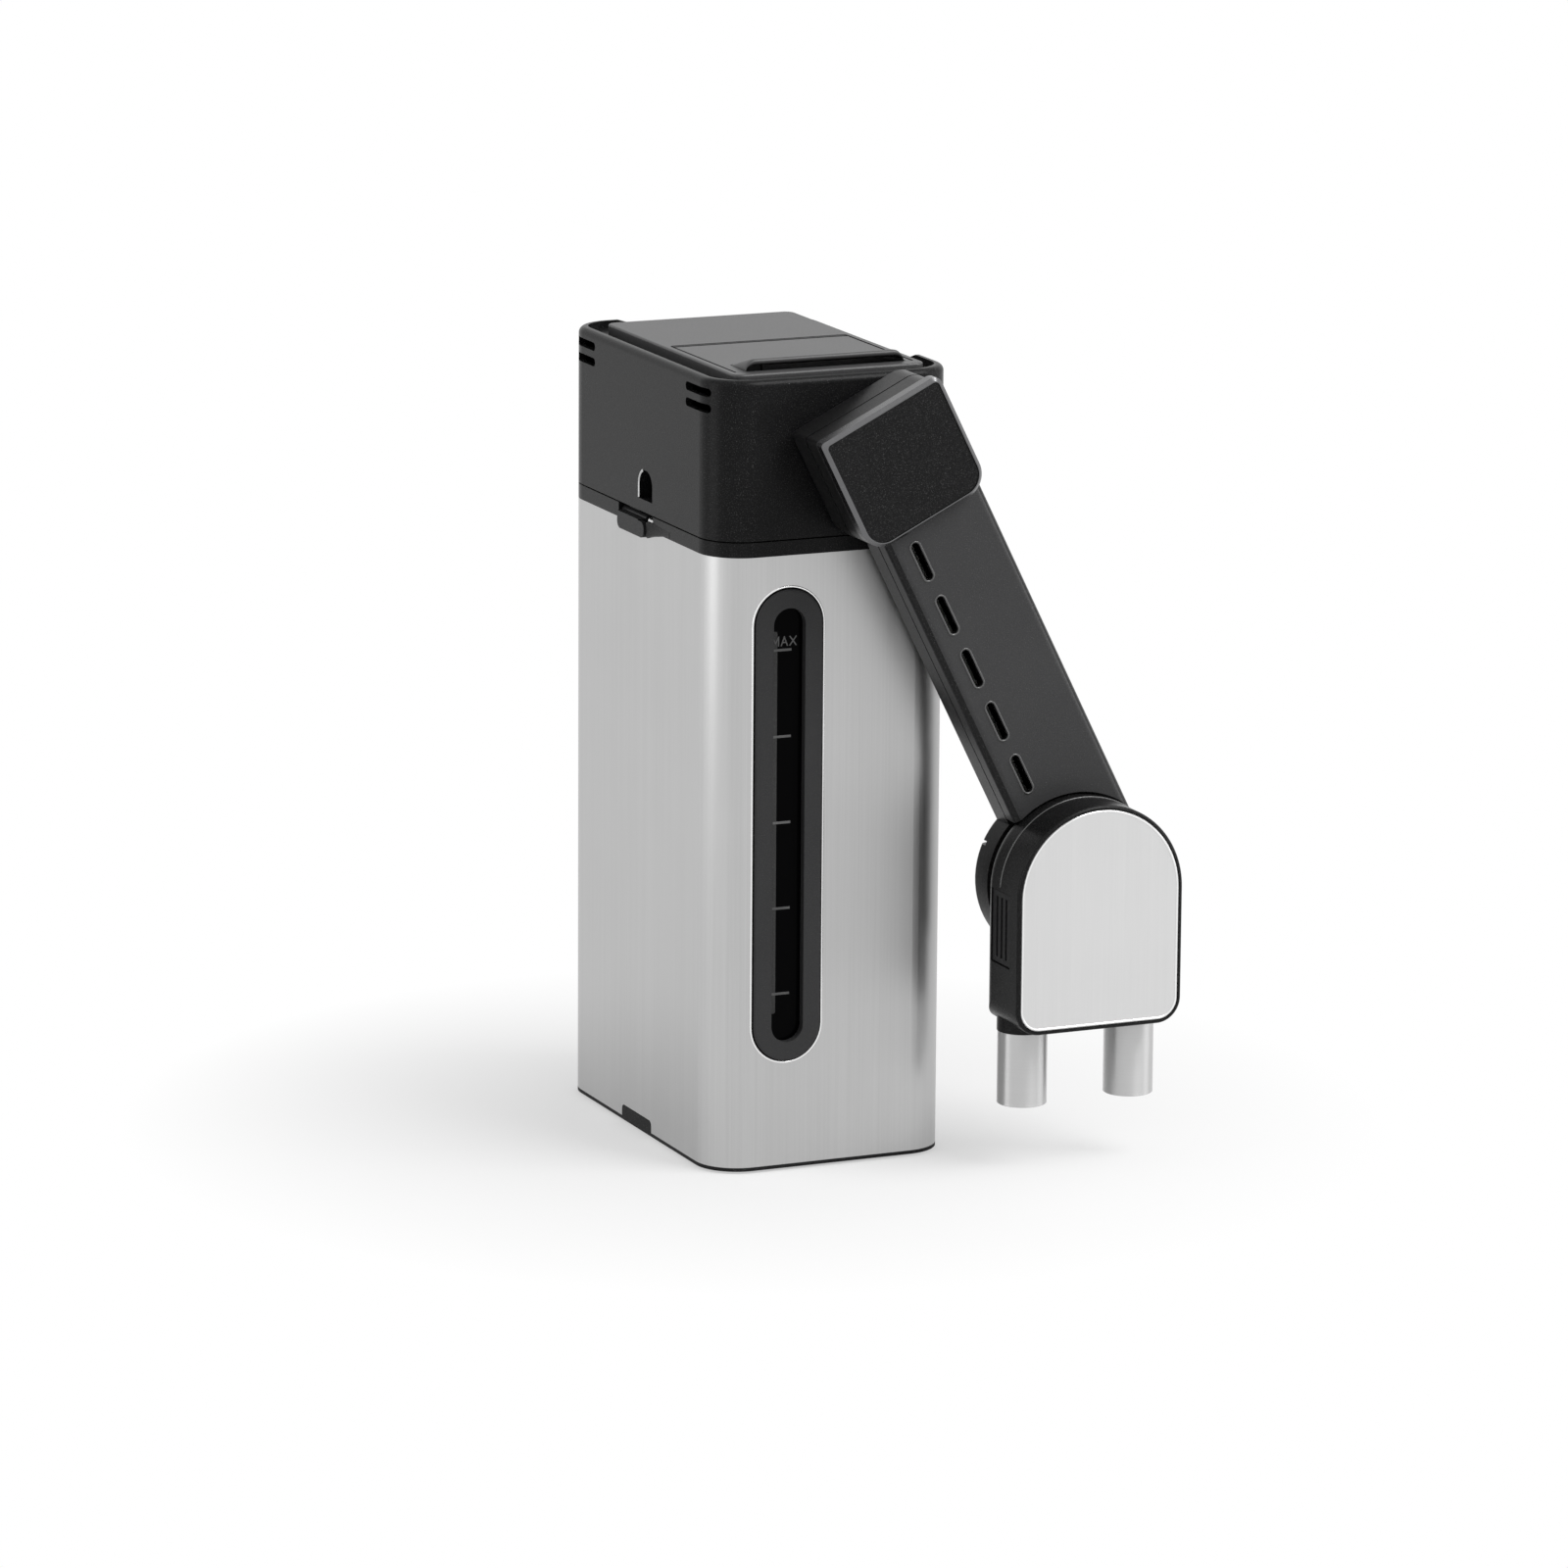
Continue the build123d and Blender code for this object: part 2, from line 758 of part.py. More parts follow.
# Head floor
floor_inset = head_wall + nest_gap
head_floor = tank_prism(floor_inset, head_bottom, floor_top)
head_floor -= block(
    -duct_half - nest_gap,
    duct_half + nest_gap,
    duct_front - nest_gap,
    duct_back + nest_gap,
    head_bottom - 1,
    floor_top + 1,
)
head_floor -= rod_z(pump_x, pump_y, intake_radius + nest_gap, head_bottom - 1, floor_top + 1)
head_floor -= rod_z(return_x, return_y, hose_radius + nest_gap, head_bottom - 1, floor_top + 1)
head_floor -= block(
    left_x, hook_in + latch_swing_room, hook_front - 1, hook_back + 1, head_bottom - 1, floor_top + 1
)
screw_seat = head_bottom + screw_head_height
for px, py in bosses_at:
    head_floor -= rod_z(px, py, screw_radius + screw_gap, head_bottom - 1, floor_top + 1)
    head_floor -= rod_z(px, py, screw_head_radius + nest_gap, head_bottom - 1, screw_seat)
save(head_floor, "head_floor")

head_screws = Compound(
    children=[
        Pos(px, py, screw_seat) * screw(floor_top - screw_seat + screw_bite)
        for px, py in bosses_at
    ]
)
save(head_screws, "head_screws")

# Lid plate on the deck, with an opening for the fill flap
lid_half = lid_width / 2
flap_half = lid_half - flap_margin
flap_barrel_radius = (lid_height - flap_side_gap) / 2
flap_axis_y = flap_back - flap_barrel_gap - flap_barrel_radius
flap_axis_z = lid_top - flap_barrel_radius
lid_mid = (lid_back + lid_front) / 2
top_lid = extrude(
    Pos(0, lid_mid, deck_top) * RectangleRounded(lid_width, lid_back - lid_front, lid_corner), lid_height
)
top_lid = fillet(top_lid.faces().sort_by(Axis.Z)[-1].edges(), 0.8)
top_lid -= block(-flap_half, flap_half, flap_line, flap_back, deck_top - 1, lid_top + 1)
top_lid -= block(
    -lid_half + lid_skin * 2,
    lid_half - lid_skin * 2,
    flap_back + lid_skin * 2,
    lid_back - lid_skin * 2,
    deck_top - 1,
    lid_top - lid_skin,
)
pin_reach = flap_half + flap_margin * 0.6
top_lid -= rod_x(flap_axis_y, flap_axis_z, flap_pin_radius + running_gap, -pin_reach, pin_reach)
save(top_lid, "top_lid")

# Fill flap: a skin with side walls, a rear barrel and a finger notch in its front
flap_edge = flap_half - flap_side_gap
flap_front = flap_line + flap_side_gap
fill_flap = block(-flap_edge, flap_edge, flap_front, flap_axis_y, lid_top - flap_skin, lid_top)
fill_flap += rod_x(flap_axis_y, flap_axis_z, flap_barrel_radius, -flap_edge, flap_edge)
wall_bottom = deck_top + flap_side_gap
fill_flap += block(-flap_edge, -flap_edge + flap_skin, flap_front, flap_axis_y, wall_bottom, lid_top)
fill_flap += block(flap_edge - flap_skin, flap_edge, flap_front, flap_axis_y, wall_bottom, lid_top)
fill_flap += block(-flap_edge, flap_edge, flap_front, flap_front + flap_skin, wall_bottom, lid_top)
notch_x0 = finger_x0 - flap_side_gap
notch_x1 = finger_x1 + flap_side_gap
lip_bottom = lid_top - notch_lip
fill_flap += block(notch_x0, notch_x1, finger_back, finger_back + flap_skin, lip_bottom, lid_top)
notch = corner_panel(
    notch_x0,
    notch_x1,
    flap_front - 1,
    finger_back,
    top_right=notch_corner,
    top_left=notch_corner,
)
fill_flap -= extrude(Pos(0, 0, wall_bottom - 1) * notch, lid_top - wall_bottom + 2)
rib_y = duct_front - duct_wall
fill_flap += block(-duct_half, duct_half, rib_y - flap_skin, rib_y, wall_bottom, lid_top)
fill_flap -= rod_x(flap_axis_y, flap_axis_z, flap_pin_radius + running_gap, -flap_edge - 1, flap_edge + 1)
save(fill_flap, "fill_flap")

save(rod_x(flap_axis_y, flap_axis_z, flap_pin_radius, -pin_reach, pin_reach), "flap_pin")

# Fill duct from the deck down into the tank's mouth
fill_duct = block(-duct_half, duct_half, duct_front, duct_back, head_bottom - duct_tail, deck_bottom)
fill_duct -= block(
    -duct_half + duct_wall,
    duct_half - duct_wall,
    duct_front + duct_wall,
    duct_back - duct_wall,
    head_bottom - duct_tail - 1,
    deck_bottom + 1,
)
save(fill_duct, "fill_duct")

# Probe socket behind the arched opening
socket_top = socket_bottom + socket_height + socket_wall
probe_socket = block(
    socket_x,
    socket_x + socket_depth + socket_body,
    socket_y - socket_width / 2 - socket_wall,
    socket_y + socket_width / 2 + socket_wall,
    floor_top,
    socket_top,
)
probe_socket -= left_prism(socket_arch, socket_x + socket_depth, socket_x - 1)
socket_mid = socket_bottom + socket_height / 2
bore_start = socket_x + socket_depth
bore_end = bore_start + socket_body - socket_wall
probe_socket -= rod_x(socket_y, socket_mid, socket_bore, bore_start - 1, bore_end)
save(probe_socket, "probe_socket")

# Mains inlet in the back wall
inlet_inner = back_y - head_wall - inlet_depth
mains_inlet = block(
    inlet_x - inlet_width / 2,
    inlet_x + inlet_width / 2,
    inlet_inner,
    back_y,
    inlet_z - inlet_height / 2,
    inlet_z + inlet_height / 2,
)
mains_inlet += block(
    inlet_x - inlet_width / 2 - inlet_wall,
    inlet_x + inlet_width / 2 + inlet_wall,
    back_y - head_wall - inlet_wall,
    back_y - head_wall,
    inlet_z - inlet_height / 2 - inlet_wall,
    inlet_z + inlet_height / 2 + inlet_wall,
)
mains_inlet -= block(
    inlet_x - inlet_width / 2 + inlet_wall,
    inlet_x + inlet_width / 2 - inlet_wall,
    inlet_inner + inlet_wall,
    back_y + 1,
    inlet_z - inlet_height / 2 + inlet_wall,
    inlet_z + inlet_height / 2 - inlet_wall,
)
save(mains_inlet, "mains_inlet")
pins = [
    block(
        inlet_x + offset - inlet_pin_width / 2,
        inlet_x + offset + inlet_pin_width / 2,
        inlet_inner + inlet_wall,
        inlet_inner + inlet_wall + inlet_pin_length,
        inlet_z - inlet_pin_height / 2,
        inlet_z + inlet_pin_height / 2,
    )
    for offset in (-inlet_pin_pitch / 2, inlet_pin_pitch / 2)
]
save(Compound(children=pins), "inlet_pins")

# Pump, motor and rotor
pump_top = floor_top + pump_height
cavity_bottom = floor_top + pump_wall
cavity_top = pump_top - pump_wall
outlet_y = pump_y + impeller_radius * 0.5
outlet_z = (cavity_bottom + cavity_top) / 2
pump_housing = rod_z(pump_x, pump_y, pump_radius, floor_top, pump_top)
pump_housing += rod_x(outlet_y, outlet_z, hose_bore - stub_gap, pump_x, pump_x + pump_radius + stub_length)
pump_housing -= rod_z(pump_x, pump_y, impeller_radius + pump_run_gap, cavity_bottom, cavity_top)
pump_housing -= rod_z(pump_x, pump_y, intake_radius - intake_wall, floor_top - 1, cavity_bottom + 1)
pump_housing -= rod_z(pump_x, pump_y, shaft_radius + running_gap, cavity_top - 1, pump_top + 1)
pump_housing -= rod_x(outlet_y, outlet_z, stub_bore, pump_x, pump_x + pump_radius + stub_length + 1)
save(pump_housing, "pump_housing")

shaft_top = pump_top + motor_height * 0.6
pump_motor = rod_z(pump_x, pump_y, motor_radius, pump_top, pump_top + motor_height)
pump_motor = fillet(pump_motor.faces().sort_by(Axis.Z)[-1].edges(), 2.0)
pump_motor -= rod_z(pump_x, pump_y, shaft_radius + running_gap, pump_top - 1, shaft_top + 0.5)
save(pump_motor, "pump_motor")

impeller_bottom = cavity_bottom + pump_run_gap
hub_radius = shaft_radius * 2.5
impeller = rod_z(pump_x, pump_y, impeller_radius, impeller_bottom, impeller_bottom + 1.5)
impeller += rod_z(pump_x, pump_y, hub_radius, impeller_bottom, impeller_bottom + impeller_height)
for index in range(impeller_blades):
    blade = Pos(hub_radius / 2 + impeller_radius / 2, 0, impeller_height / 2) * Box(
        impeller_radius - hub_radius + 0.6, 1.2, impeller_height
    )
    impeller += Pos(pump_x, pump_y, impeller_bottom) * Rot(0, 0, index * 360 / impeller_blades) * blade
impeller &= rod_z(pump_x, pump_y, impeller_radius, impeller_bottom - 1, impeller_bottom + impeller_height + 1)
impeller += rod_z(pump_x, pump_y, shaft_radius, impeller_bottom, shaft_top)
save(impeller, "pump_rotor")

# Intake tube and strainer that reach down into the tank
intake_tube = rod_z(pump_x, pump_y, intake_radius, intake_bottom, floor_top)
intake_tube -= rod_z(pump_x, pump_y, intake_radius - intake_wall, intake_bottom - 1, floor_top + 1)
save(intake_tube, "intake_tube")
strainer_bottom = intake_bottom - strainer_height / 2
strainer_top = strainer_bottom + strainer_height
strainer = rod_z(pump_x, pump_y, strainer_radius, strainer_bottom, strainer_top)
strainer -= rod_z(pump_x, pump_y, intake_radius + stub_gap, intake_bottom, strainer_top + 1)
strainer -= rod_z(pump_x, pump_y, strainer_radius - 1.6, strainer_bottom + 1.6, intake_bottom - 1.2)
strainer -= rod_z(pump_x, pump_y, intake_radius - intake_wall, intake_bottom - 2, intake_bottom + 1)
for index in range(strainer_slots):
    slit = Pos(strainer_radius, 0, (strainer_bottom + 1.6 + intake_bottom - 1.2) / 2) * Box(
        5.0, 2.0, intake_bottom - strainer_bottom - 2.8
    )
    strainer -= Pos(pump_x, pump_y, 0) * Rot(0, 0, index * 360 / strainer_slots) * slit
save(strainer, "intake_strainer")

# Flow heater, its sensor and the control board
heater_front = heater_y - heater_length / 2
heater_top = floor_top + heater_height
hose_lane = tank_width / 2 - head_wall - hose_radius - hose_wall_gap
flow_heater = block(
    heater_left, heater_left + heater_width, heater_front, heater_front + heater_length, floor_top, heater_top
)
fin_pitch = heater_length / (2 * heater_fins)
for index in range(heater_fins):
    fin_y = heater_front + heater_length / 2 + (index + 0.5) * fin_pitch - fin_pitch * 0.25
    flow_heater -= block(
        heater_left - 1,
        heater_left + heater_width + 1,
        fin_y,
        fin_y + fin_pitch * 0.5,
        heater_top - heater_height * 0.25,
        heater_top + 1,
    )
flow_heater += rod_x(outlet_y, outlet_z, hose_bore - stub_gap, heater_left - stub_length, heater_left + 1)
flow_heater += rod_y(hose_lane, outlet_z, hose_bore - stub_gap, heater_front - stub_length, heater_front + 1)
flow_heater -= rod_x(outlet_y, outlet_z, stub_bore, heater_left - stub_length - 1, heater_x)
flow_heater -= rod_y(hose_lane, outlet_z, stub_bore, heater_front - stub_length - 1, heater_y)
save(flow_heater, "flow_heater")
sensor_x = heater_x - heater_width / 4
sensor_y = heater_y - heater_length / 4
temp_sensor = rod_z(sensor_x, sensor_y, sensor_radius, heater_top, heater_top + sensor_height)
temp_sensor = fillet(temp_sensor.faces().sort_by(Axis.Z)[-1].edges(), sensor_radius * 0.6)
save(temp_sensor, "temp_sensor")

board_top = deck_bottom - board_post
posts_at = [
    (sx * (board_width / 2 - 4), board_y + sy * (board_length / 2 - 4)) for sx in (-1, 1) for sy in (-1, 1)
]
control_board = block(
    -board_width / 2,
    board_width / 2,
    board_y - board_length / 2,
    board_y + board_length / 2,
    board_top - board_thickness,
    board_top,
)
for px, py in posts_at:
    control_board += rod_z(px, py, board_post_radius, board_top, deck_bottom)
save(control_board, "control_board")

# Shoulder joint between the head and the arm
shoulder_bush = rod_y(shoulder_x, shoulder_z, bush_radius, front_y, front_y + bush_length)
shoulder_bush += rod_y(shoulder_x, shoulder_z, washer_radius, arm_back, front_y)
shoulder_bush -= rod_y(
    shoulder_x, shoulder_z, spindle_radius + running_gap, arm_back - 1, front_y + bush_length + 1
)
save(shoulder_bush, "shoulder_bush")

spindle_end = union_front + union_seat
shoulder_in = arm_back - shell_wall
port_at = [(shoulder_x + sx * spindle_port_offset, shoulder_z) for sx in (-1, 1)]
nut = rod_y(shoulder_x, shoulder_z, nut_radius, nut_start, nut_end)
nut -= rod_y(shoulder_x, shoulder_z, spindle_radius + screw_gap, nut_start - 1, nut_end + 1)
save(nut, "shoulder_nut")

shoulder_union = block(
    shoulder_x - union_half,
    shoulder_x + union_half,
    union_front,
    union_back,
    shoulder_z - union_half,
    shoulder_z + union_half,
)
shoulder_union += block(
    shoulder_x - union_leg / 2, shoulder_x + union_leg / 2, union_front, union_back, floor_top, shoulder_z
)
union_mid = (spindle_end + union_back) / 2
for side in (-1, 1):
    x_start = shoulder_x + side * (union_half - 1)
    x_stop = shoulder_x + side * (union_half + stub_length)
    shoulder_union += rod_x(
        union_mid, shoulder_z, hose_bore - stub_gap, min(x_start, x_stop), max(x_start, x_stop)
    )
shoulder_union -= rod_y(
    shoulder_x, shoulder_z, spindle_radius + running_gap, union_front - 1, spindle_end + 0.4
)
for side in (-1, 1):
    x_start = shoulder_x + side * spindle_port_offset * 0.5
    x_stop = shoulder_x + side * (union_half + stub_length + 1)
    shoulder_union -= rod_x(union_mid, shoulder_z, stub_bore, min(x_start, x_stop), max(x_start, x_stop))
save(shoulder_union, "shoulder_union")

# Hoses in the head
pump_hose = hose(
    [
        (pump_x + pump_radius + nest_gap, outlet_y, outlet_z),
        (heater_left - nest_gap, outlet_y, outlet_z),
    ],
    hose_radius,
    hose_bore,
)
save(pump_hose, "pump_hose")
rise_y = heater_front - stub_length - hose_bend * 2
supply_hose = hose(
    [
        (hose_lane, heater_front - nest_gap, outlet_z),
        (hose_lane, rise_y, outlet_z),
        (hose_lane, rise_y, shoulder_z),
        (hose_lane, union_mid, shoulder_z),
        (shoulder_x + union_half + nest_gap, union_mid, shoulder_z),
    ],
    hose_radius,
    hose_bore,
)
save(supply_hose, "supply_hose")
return_hose = hose(
    [
        (shoulder_x - union_half - nest_gap, union_mid, shoulder_z),
        (return_x, union_mid, shoulder_z),
        (return_x, return_y, shoulder_z),
        (return_x, return_y, head_bottom - return_tail),
    ],
    hose_radius,
    hose_bore,
)
save(return_hose, "return_hose")


def shaft_panel(grow, s0, s1):
    left = arm_left - grow
    right = arm_right + grow
    return Pos((left + right) / 2, (s0 + s1) / 2) * Rectangle(right - left, s1 - s0)


def hood_outline(grow, top_corner):
    return corner_panel(
        hood_left - grow,
        hood_right + grow,
        hood_bottom - grow,
        arm_top + grow,
        low_left=hood_corner + grow,
        low_right=hood_corner + grow,
        top_right=top_corner + grow,
        top_left=1.5,
    )


def shank_outline(grow):
    return shaft_panel(grow, 0, shoulder_s) + Circle(disc_radius + grow)


def arm_point(n, s):
    return (
        elbow_x + n * math.cos(lean) - s * math.sin(lean),
        elbow_z + n * math.sin(lean) + s * math.cos(lean),
    )


def back_screw(x, y, z, length):
    return Plane(origin=(x, y, z), x_dir=(1, 0, 0), z_dir=(0, -1, 0)).location * screw(length)


# Arm back shell
arm_inner = arm_back - shell_wall
arm_screws_at = [
    arm_point(n, s) for n in (arm_screw_left, arm_screw_right) for s in (arm_screw_low, arm_screw_high)
]
arm_back_shell = arm_prism(shank_outline(0), arm_back, arm_split)
arm_back_shell = fillet(arm_back_shell.faces().sort_by(Axis.Y)[-1].edges(), back_edge_radius)
hood_back = arm_prism(hood_outline(0, hood_top_corner), arm_back, arm_split)
arm_back_shell += fillet(hood_back.faces().sort_by(Axis.Y)[-1].edges(), hood_back_edge)
stop_pad_block = block(
    elbow_x - disc_radius + shell_wall / 2,
    elbow_x - stop_notch_reach + stop_pad / 2,
    arm_back - stop_notch_depth - shell_wall,
    arm_inner + shell_wall / 2,
    elbow_z + stop_notch_rise - stop_pad,
    elbow_z + stop_notch_rise + stop_pad,
)
stop_pad_block &= rod_y(elbow_x, elbow_z, disc_radius - shell_wall / 2, arm_split, arm_back)
arm_back_shell -= arm_prism(shank_outline(-shell_wall), arm_inner, arm_split - 1)
arm_back_shell -= arm_prism(hood_outline(-shell_wall, hood_top_corner), arm_inner, arm_split - 1)
arm_back_shell += stop_pad_block
arm_back_shell -= block(
    elbow_x - disc_radius - 1,
    elbow_x - stop_notch_reach,
    arm_back - stop_notch_depth,
    arm_back + 1,
    elbow_z + stop_notch_rise - stop_notch_height / 2,
    elbow_z + stop_notch_rise + stop_notch_height / 2,
)
arm_back_shell -= rod_y(shoulder_x, shoulder_z, spindle_radius + running_gap, arm_back - 5, arm_back + 1)
for px, pz in arm_screws_at:
    arm_back_shell += rod_y(px, pz, small_boss, arm_split, arm_inner)
    arm_back_shell -= rod_y(px, pz, screw_radius + screw_gap, arm_split - 1, arm_back + 1)
for px, pz in arm_screws_at:
    arm_back_shell -= rod_y(px, pz, screw_head_radius + nest_gap, arm_back - screw_head_height, arm_back + 1)
save(arm_back_shell, "arm_back_shell")

# Arm front cover with its slots and the hood round the shoulder
sweep_radius = spout_half + spout_sweep_gap
groove_front = arm_split - groove_height
cover_inner = arm_front + shell_wall
shaft = arm_prism(shaft_panel(0, cover_tail, hood_bottom + hood_corner * 2), groove_front, arm_front)
face_edges = shaft.faces().sort_by(Axis.Y)[0].edges()
long_edges = [edge for edge in face_edges if edge.length > (hood_bottom - cover_tail) * 0.9]
arm_front_cover = fillet(long_edges, arm_edge_radius)
arm_front_cover += arm_prism(hood_outline(0, hood_top_corner), groove_front, arm_front)
lip_outline = shaft_panel(-groove_depth, cover_tail, shoulder_s)
lip_outline += hood_outline(-groove_depth, hood_top_corner)
arm_front_cover += arm_prism(lip_outline, arm_split, groove_front)
arm_front_cover -= arm_prism(Circle(sweep_radius), arm_back, arm_front - 1)
hollow = shaft_panel(-shell_wall, cover_tail + shell_wall, shoulder_s) - Circle(sweep_radius + shell_wall)
arm_front_cover -= arm_prism(hollow, arm_split + 1, cover_inner)
arm_front_cover -= arm_prism(hood_outline(-shell_wall, hood_top_corner), arm_split + 1, cover_inner)
for index in range(arm_slot_count):
    slot_mid = arm_slot_first + arm_slot_length / 2 + index * arm_slot_pitch
    slot = Pos(arm_slot_offset, slot_mid) * SlotOverall(arm_slot_length, arm_slot_width, rotation=90)
    arm_front_cover -= arm_prism(slot, cover_inner + 1, arm_front - 1)
for px, pz in arm_screws_at:
    arm_front_cover += rod_y(px, pz, small_boss, cover_inner, arm_split)
    arm_front_cover -= rod_y(px, pz, screw_radius + screw_gap, cover_inner, arm_split + 1)
save(arm_front_cover, "arm_front_cover")
arm_screw_length = back_shell_depth - screw_head_height + arm_screw_bite
arm_screws = Compound(
    children=[
        back_screw(px, arm_back - screw_head_height, pz, arm_screw_length)
        for px, pz in arm_screws_at
    ]
)
save(arm_screws, "arm_screws")

# Hood cap: a bevelled frame round a dark panel
cap_frame = arm_prism(hood_outline(0, hood_top_corner / 2), arm_front, cap_front)
cap_frame = chamfer(cap_frame.faces().sort_by(Axis.Y)[0].edges(), cap_bevel)
panel_back = cap_front + cap_panel_inset + cap_panel_depth
cap_frame -= arm_prism(hood_outline(-cap_rim, hood_top_corner / 2), panel_back, cap_front - 1)
save(cap_frame, "cap_frame")
panel_outline = hood_outline(-cap_rim - plate_gap, hood_top_corner / 2)
save(arm_prism(panel_outline, panel_back, cap_front + cap_panel_inset), "cap_panel")

# Water ways in the arm
arm_lanes = [arm_hose_offset - arm_hose_spacing / 2, arm_hose_offset + arm_hose_spacing / 2]
lane_y = arm_inner - cap_disc_radius * 0.3
shoulder_low = shoulder_s - cap_disc_radius
stub_radius = arm_hose_bore - stub_gap
stub_port = stub_radius * 0.6


def lane_rod(n, s0, s1, radius):
    x0, z0 = arm_point(n, s0)
    plane = Plane(
        origin=(x0, lane_y, z0),
        x_dir=(0, 1, 0),
        z_dir=(-math.sin(lean), 0, math.cos(lean)),
    )
    return extrude(plane * Circle(radius), s1 - s0)


shoulder_cap_front = shoulder_in - shoulder_cap_depth
shoulder_spindle = rod_y(shoulder_x, shoulder_z, spindle_radius, shoulder_in - 1, spindle_end)
shoulder_spindle += rod_y(shoulder_x, shoulder_z, cap_disc_radius, shoulder_cap_front, shoulder_in)
for lane in arm_lanes:
    lane_end = shoulder_s - cap_disc_radius / 2
    shoulder_spindle += lane_rod(lane, shoulder_low - stub_length, lane_end, stub_radius)
    shoulder_spindle -= lane_rod(lane, shoulder_low - stub_length - 1, shoulder_s, stub_port)
for px, pz in port_at:
    shoulder_spindle -= rod_y(px, pz, spindle_port, lane_y, spindle_end + 1)
save(shoulder_spindle, "shoulder_spindle")

plate_inner = arm_split + elbow_plate_depth
elbow_outline = Circle(disc_radius - shell_wall - nest_gap)
elbow_outline += shaft_panel(-shell_wall - nest_gap, 0, disc_radius + shell_wall * 2)
elbow_plate = arm_prism(elbow_outline, plate_inner, arm_split)
elbow_plate -= rod_y(elbow_x, elbow_z, spindle_radius + nest_gap, arm_split - 1, plate_inner + 1)
save(elbow_plate, "elbow_plate")

elbow_end = arm_inner - 1.5
elbow_manifold = rod_y(elbow_x, elbow_z, cap_disc_radius, plate_inner, arm_inner)
elbow_manifold -= rod_y(elbow_x, elbow_z, spindle_radius + running_gap, plate_inner - 1, elbow_end + nest_gap)
ring_back = plate_inner + ring_width + ring_room
elbow_manifold -= rod_y(elbow_x, elbow_z, ring_radius + ring_room, plate_inner - 1, ring_back)
for lane in arm_lanes:
    lane_start = math.sqrt(cap_disc_radius**2 - lane**2) - 2
    elbow_manifold += lane_rod(lane, lane_start, cap_disc_radius + stub_length, stub_radius)
    elbow_manifold -= lane_rod(lane, lane_start - 1, cap_disc_radius + stub_length + 1, stub_port)
save(elbow_manifold, "elbow_manifold")
arm_hoses = Compound(
    children=[
        lane_rod(lane, cap_disc_radius + nest_gap, shoulder_low - nest_gap, arm_hose_radius)
        - lane_rod(lane, cap_disc_radius, shoulder_low, arm_hose_bore)
        for lane in arm_lanes
    ]
)
save(arm_hoses, "arm_hoses")


def spout_outline(grow):
    half = spout_half + grow
    drop = spout_drop + grow
    corner = max(spout_corner + grow, 1.0)
    lower = corner_panel(-half, half, -drop, 0, low_left=corner, low_right=corner)
    return Pos(elbow_x, elbow_z) * (lower + Circle(half))


def spout_round(grow, y_front):
    half = spout_half + grow
    back = spout_back + grow
    corner = spout_back_round + grow
    section = corner_panel(-half, half, y_front, back, top_right=corner, top_left=corner)
    sides = extrude(Pos(elbow_x, 0, spout_bottom - 1) * section, spout_drop + 1)
    half_section = corner_panel(0, half, y_front, back, top_right=corner)
    axle = Axis((elbow_x, 0, elbow_z), (0, 1, 0))
    crown = revolve(Pos(elbow_x, 0, elbow_z) * half_section, axis=axle)
    return (sides + crown) & front_prism(spout_outline(grow), back + 1, y_front - 1)


# Spout shells with the tube holes and the clip openings
clip_back = spout_back - clip_setback
clip_front = clip_back - clip_width
clip_bottom = clip_top - clip_height
tubes_at = [elbow_x - tube_spacing / 2, elbow_x + tube_spacing / 2]
collar_low = spout_bottom - tube_collar_drop
collar_high = collar_low + tube_collar_drop + tube_collar_height
manifold_low = collar_high
spout_screws_at = [
    (elbow_x + sx * spout_screw_x, elbow_z + dz)
    for sx in (-1, 1)
    for dz in (spout_screw_low, spout_screw_top)
]
spout_hollow = spout_outline(-shell_wall)
spout_back_shell = spout_round(0, spout_split)
spout_back_shell -= spout_round(-shell_wall, spout_split - 1)
spout_front_shell = front_prism(spout_outline(0), spout_split, spout_face)
spout_front_shell = fillet(spout_front_shell.faces().sort_by(Axis.Y)[0].edges(), spout_edge)
spout_front_shell -= front_prism(spout_hollow, spout_split + 1, spout_front + spout_front_wall)
spout_front_shell -= front_prism(spout_outline(-spout_rim), spout_front, spout_face - 1)
side_reach = shell_wall + clip_pad + 1
for side in (-1, 1):
    outer = elbow_x + side * (spout_half + 1)
    inner = elbow_x + side * (spout_half - side_reach)
    opening = block(
        min(outer, inner),
        max(outer, inner),
        clip_front - clip_gap,
        clip_back + clip_gap,
        clip_bottom - clip_gap,
        clip_top + clip_gap,
    )
    pad_out = elbow_x + side * (spout_half - shell_wall / 2)
    pad_in = elbow_x + side * (spout_half - shell_wall - clip_pad)
    pad = block(
        min(pad_out, pad_in),
        max(pad_out, pad_in),
        clip_front - clip_pad_lap,
        clip_back + clip_pad_lap,
        clip_bottom - clip_pad_lap,
        clip_top + clip_pad_lap,
    )
    pad &= spout_round(-0.4, spout_front)
    spout_back_shell += pad & front_prism(spout_outline(1), spout_back, spout_split)
    spout_front_shell += pad & front_prism(spout_outline(1), spout_split, spout_front)
    spout_back_shell -= opening
    spout_front_shell -= opening
for px in tubes_at:
    tube_hole = rod_z(px, tube_y, tube_collar_radius + nest_gap, spout_bottom - 1, collar_high)
    spout_back_shell -= tube_hole
    spout_front_shell -= tube_hole
spout_back_shell -= rod_y(elbow_x, elbow_z, spindle_radius + running_gap, spout_split, spout_back + 1)
spout_seat = spout_back - screw_head_height
boss_end = spout_front + spout_front_wall
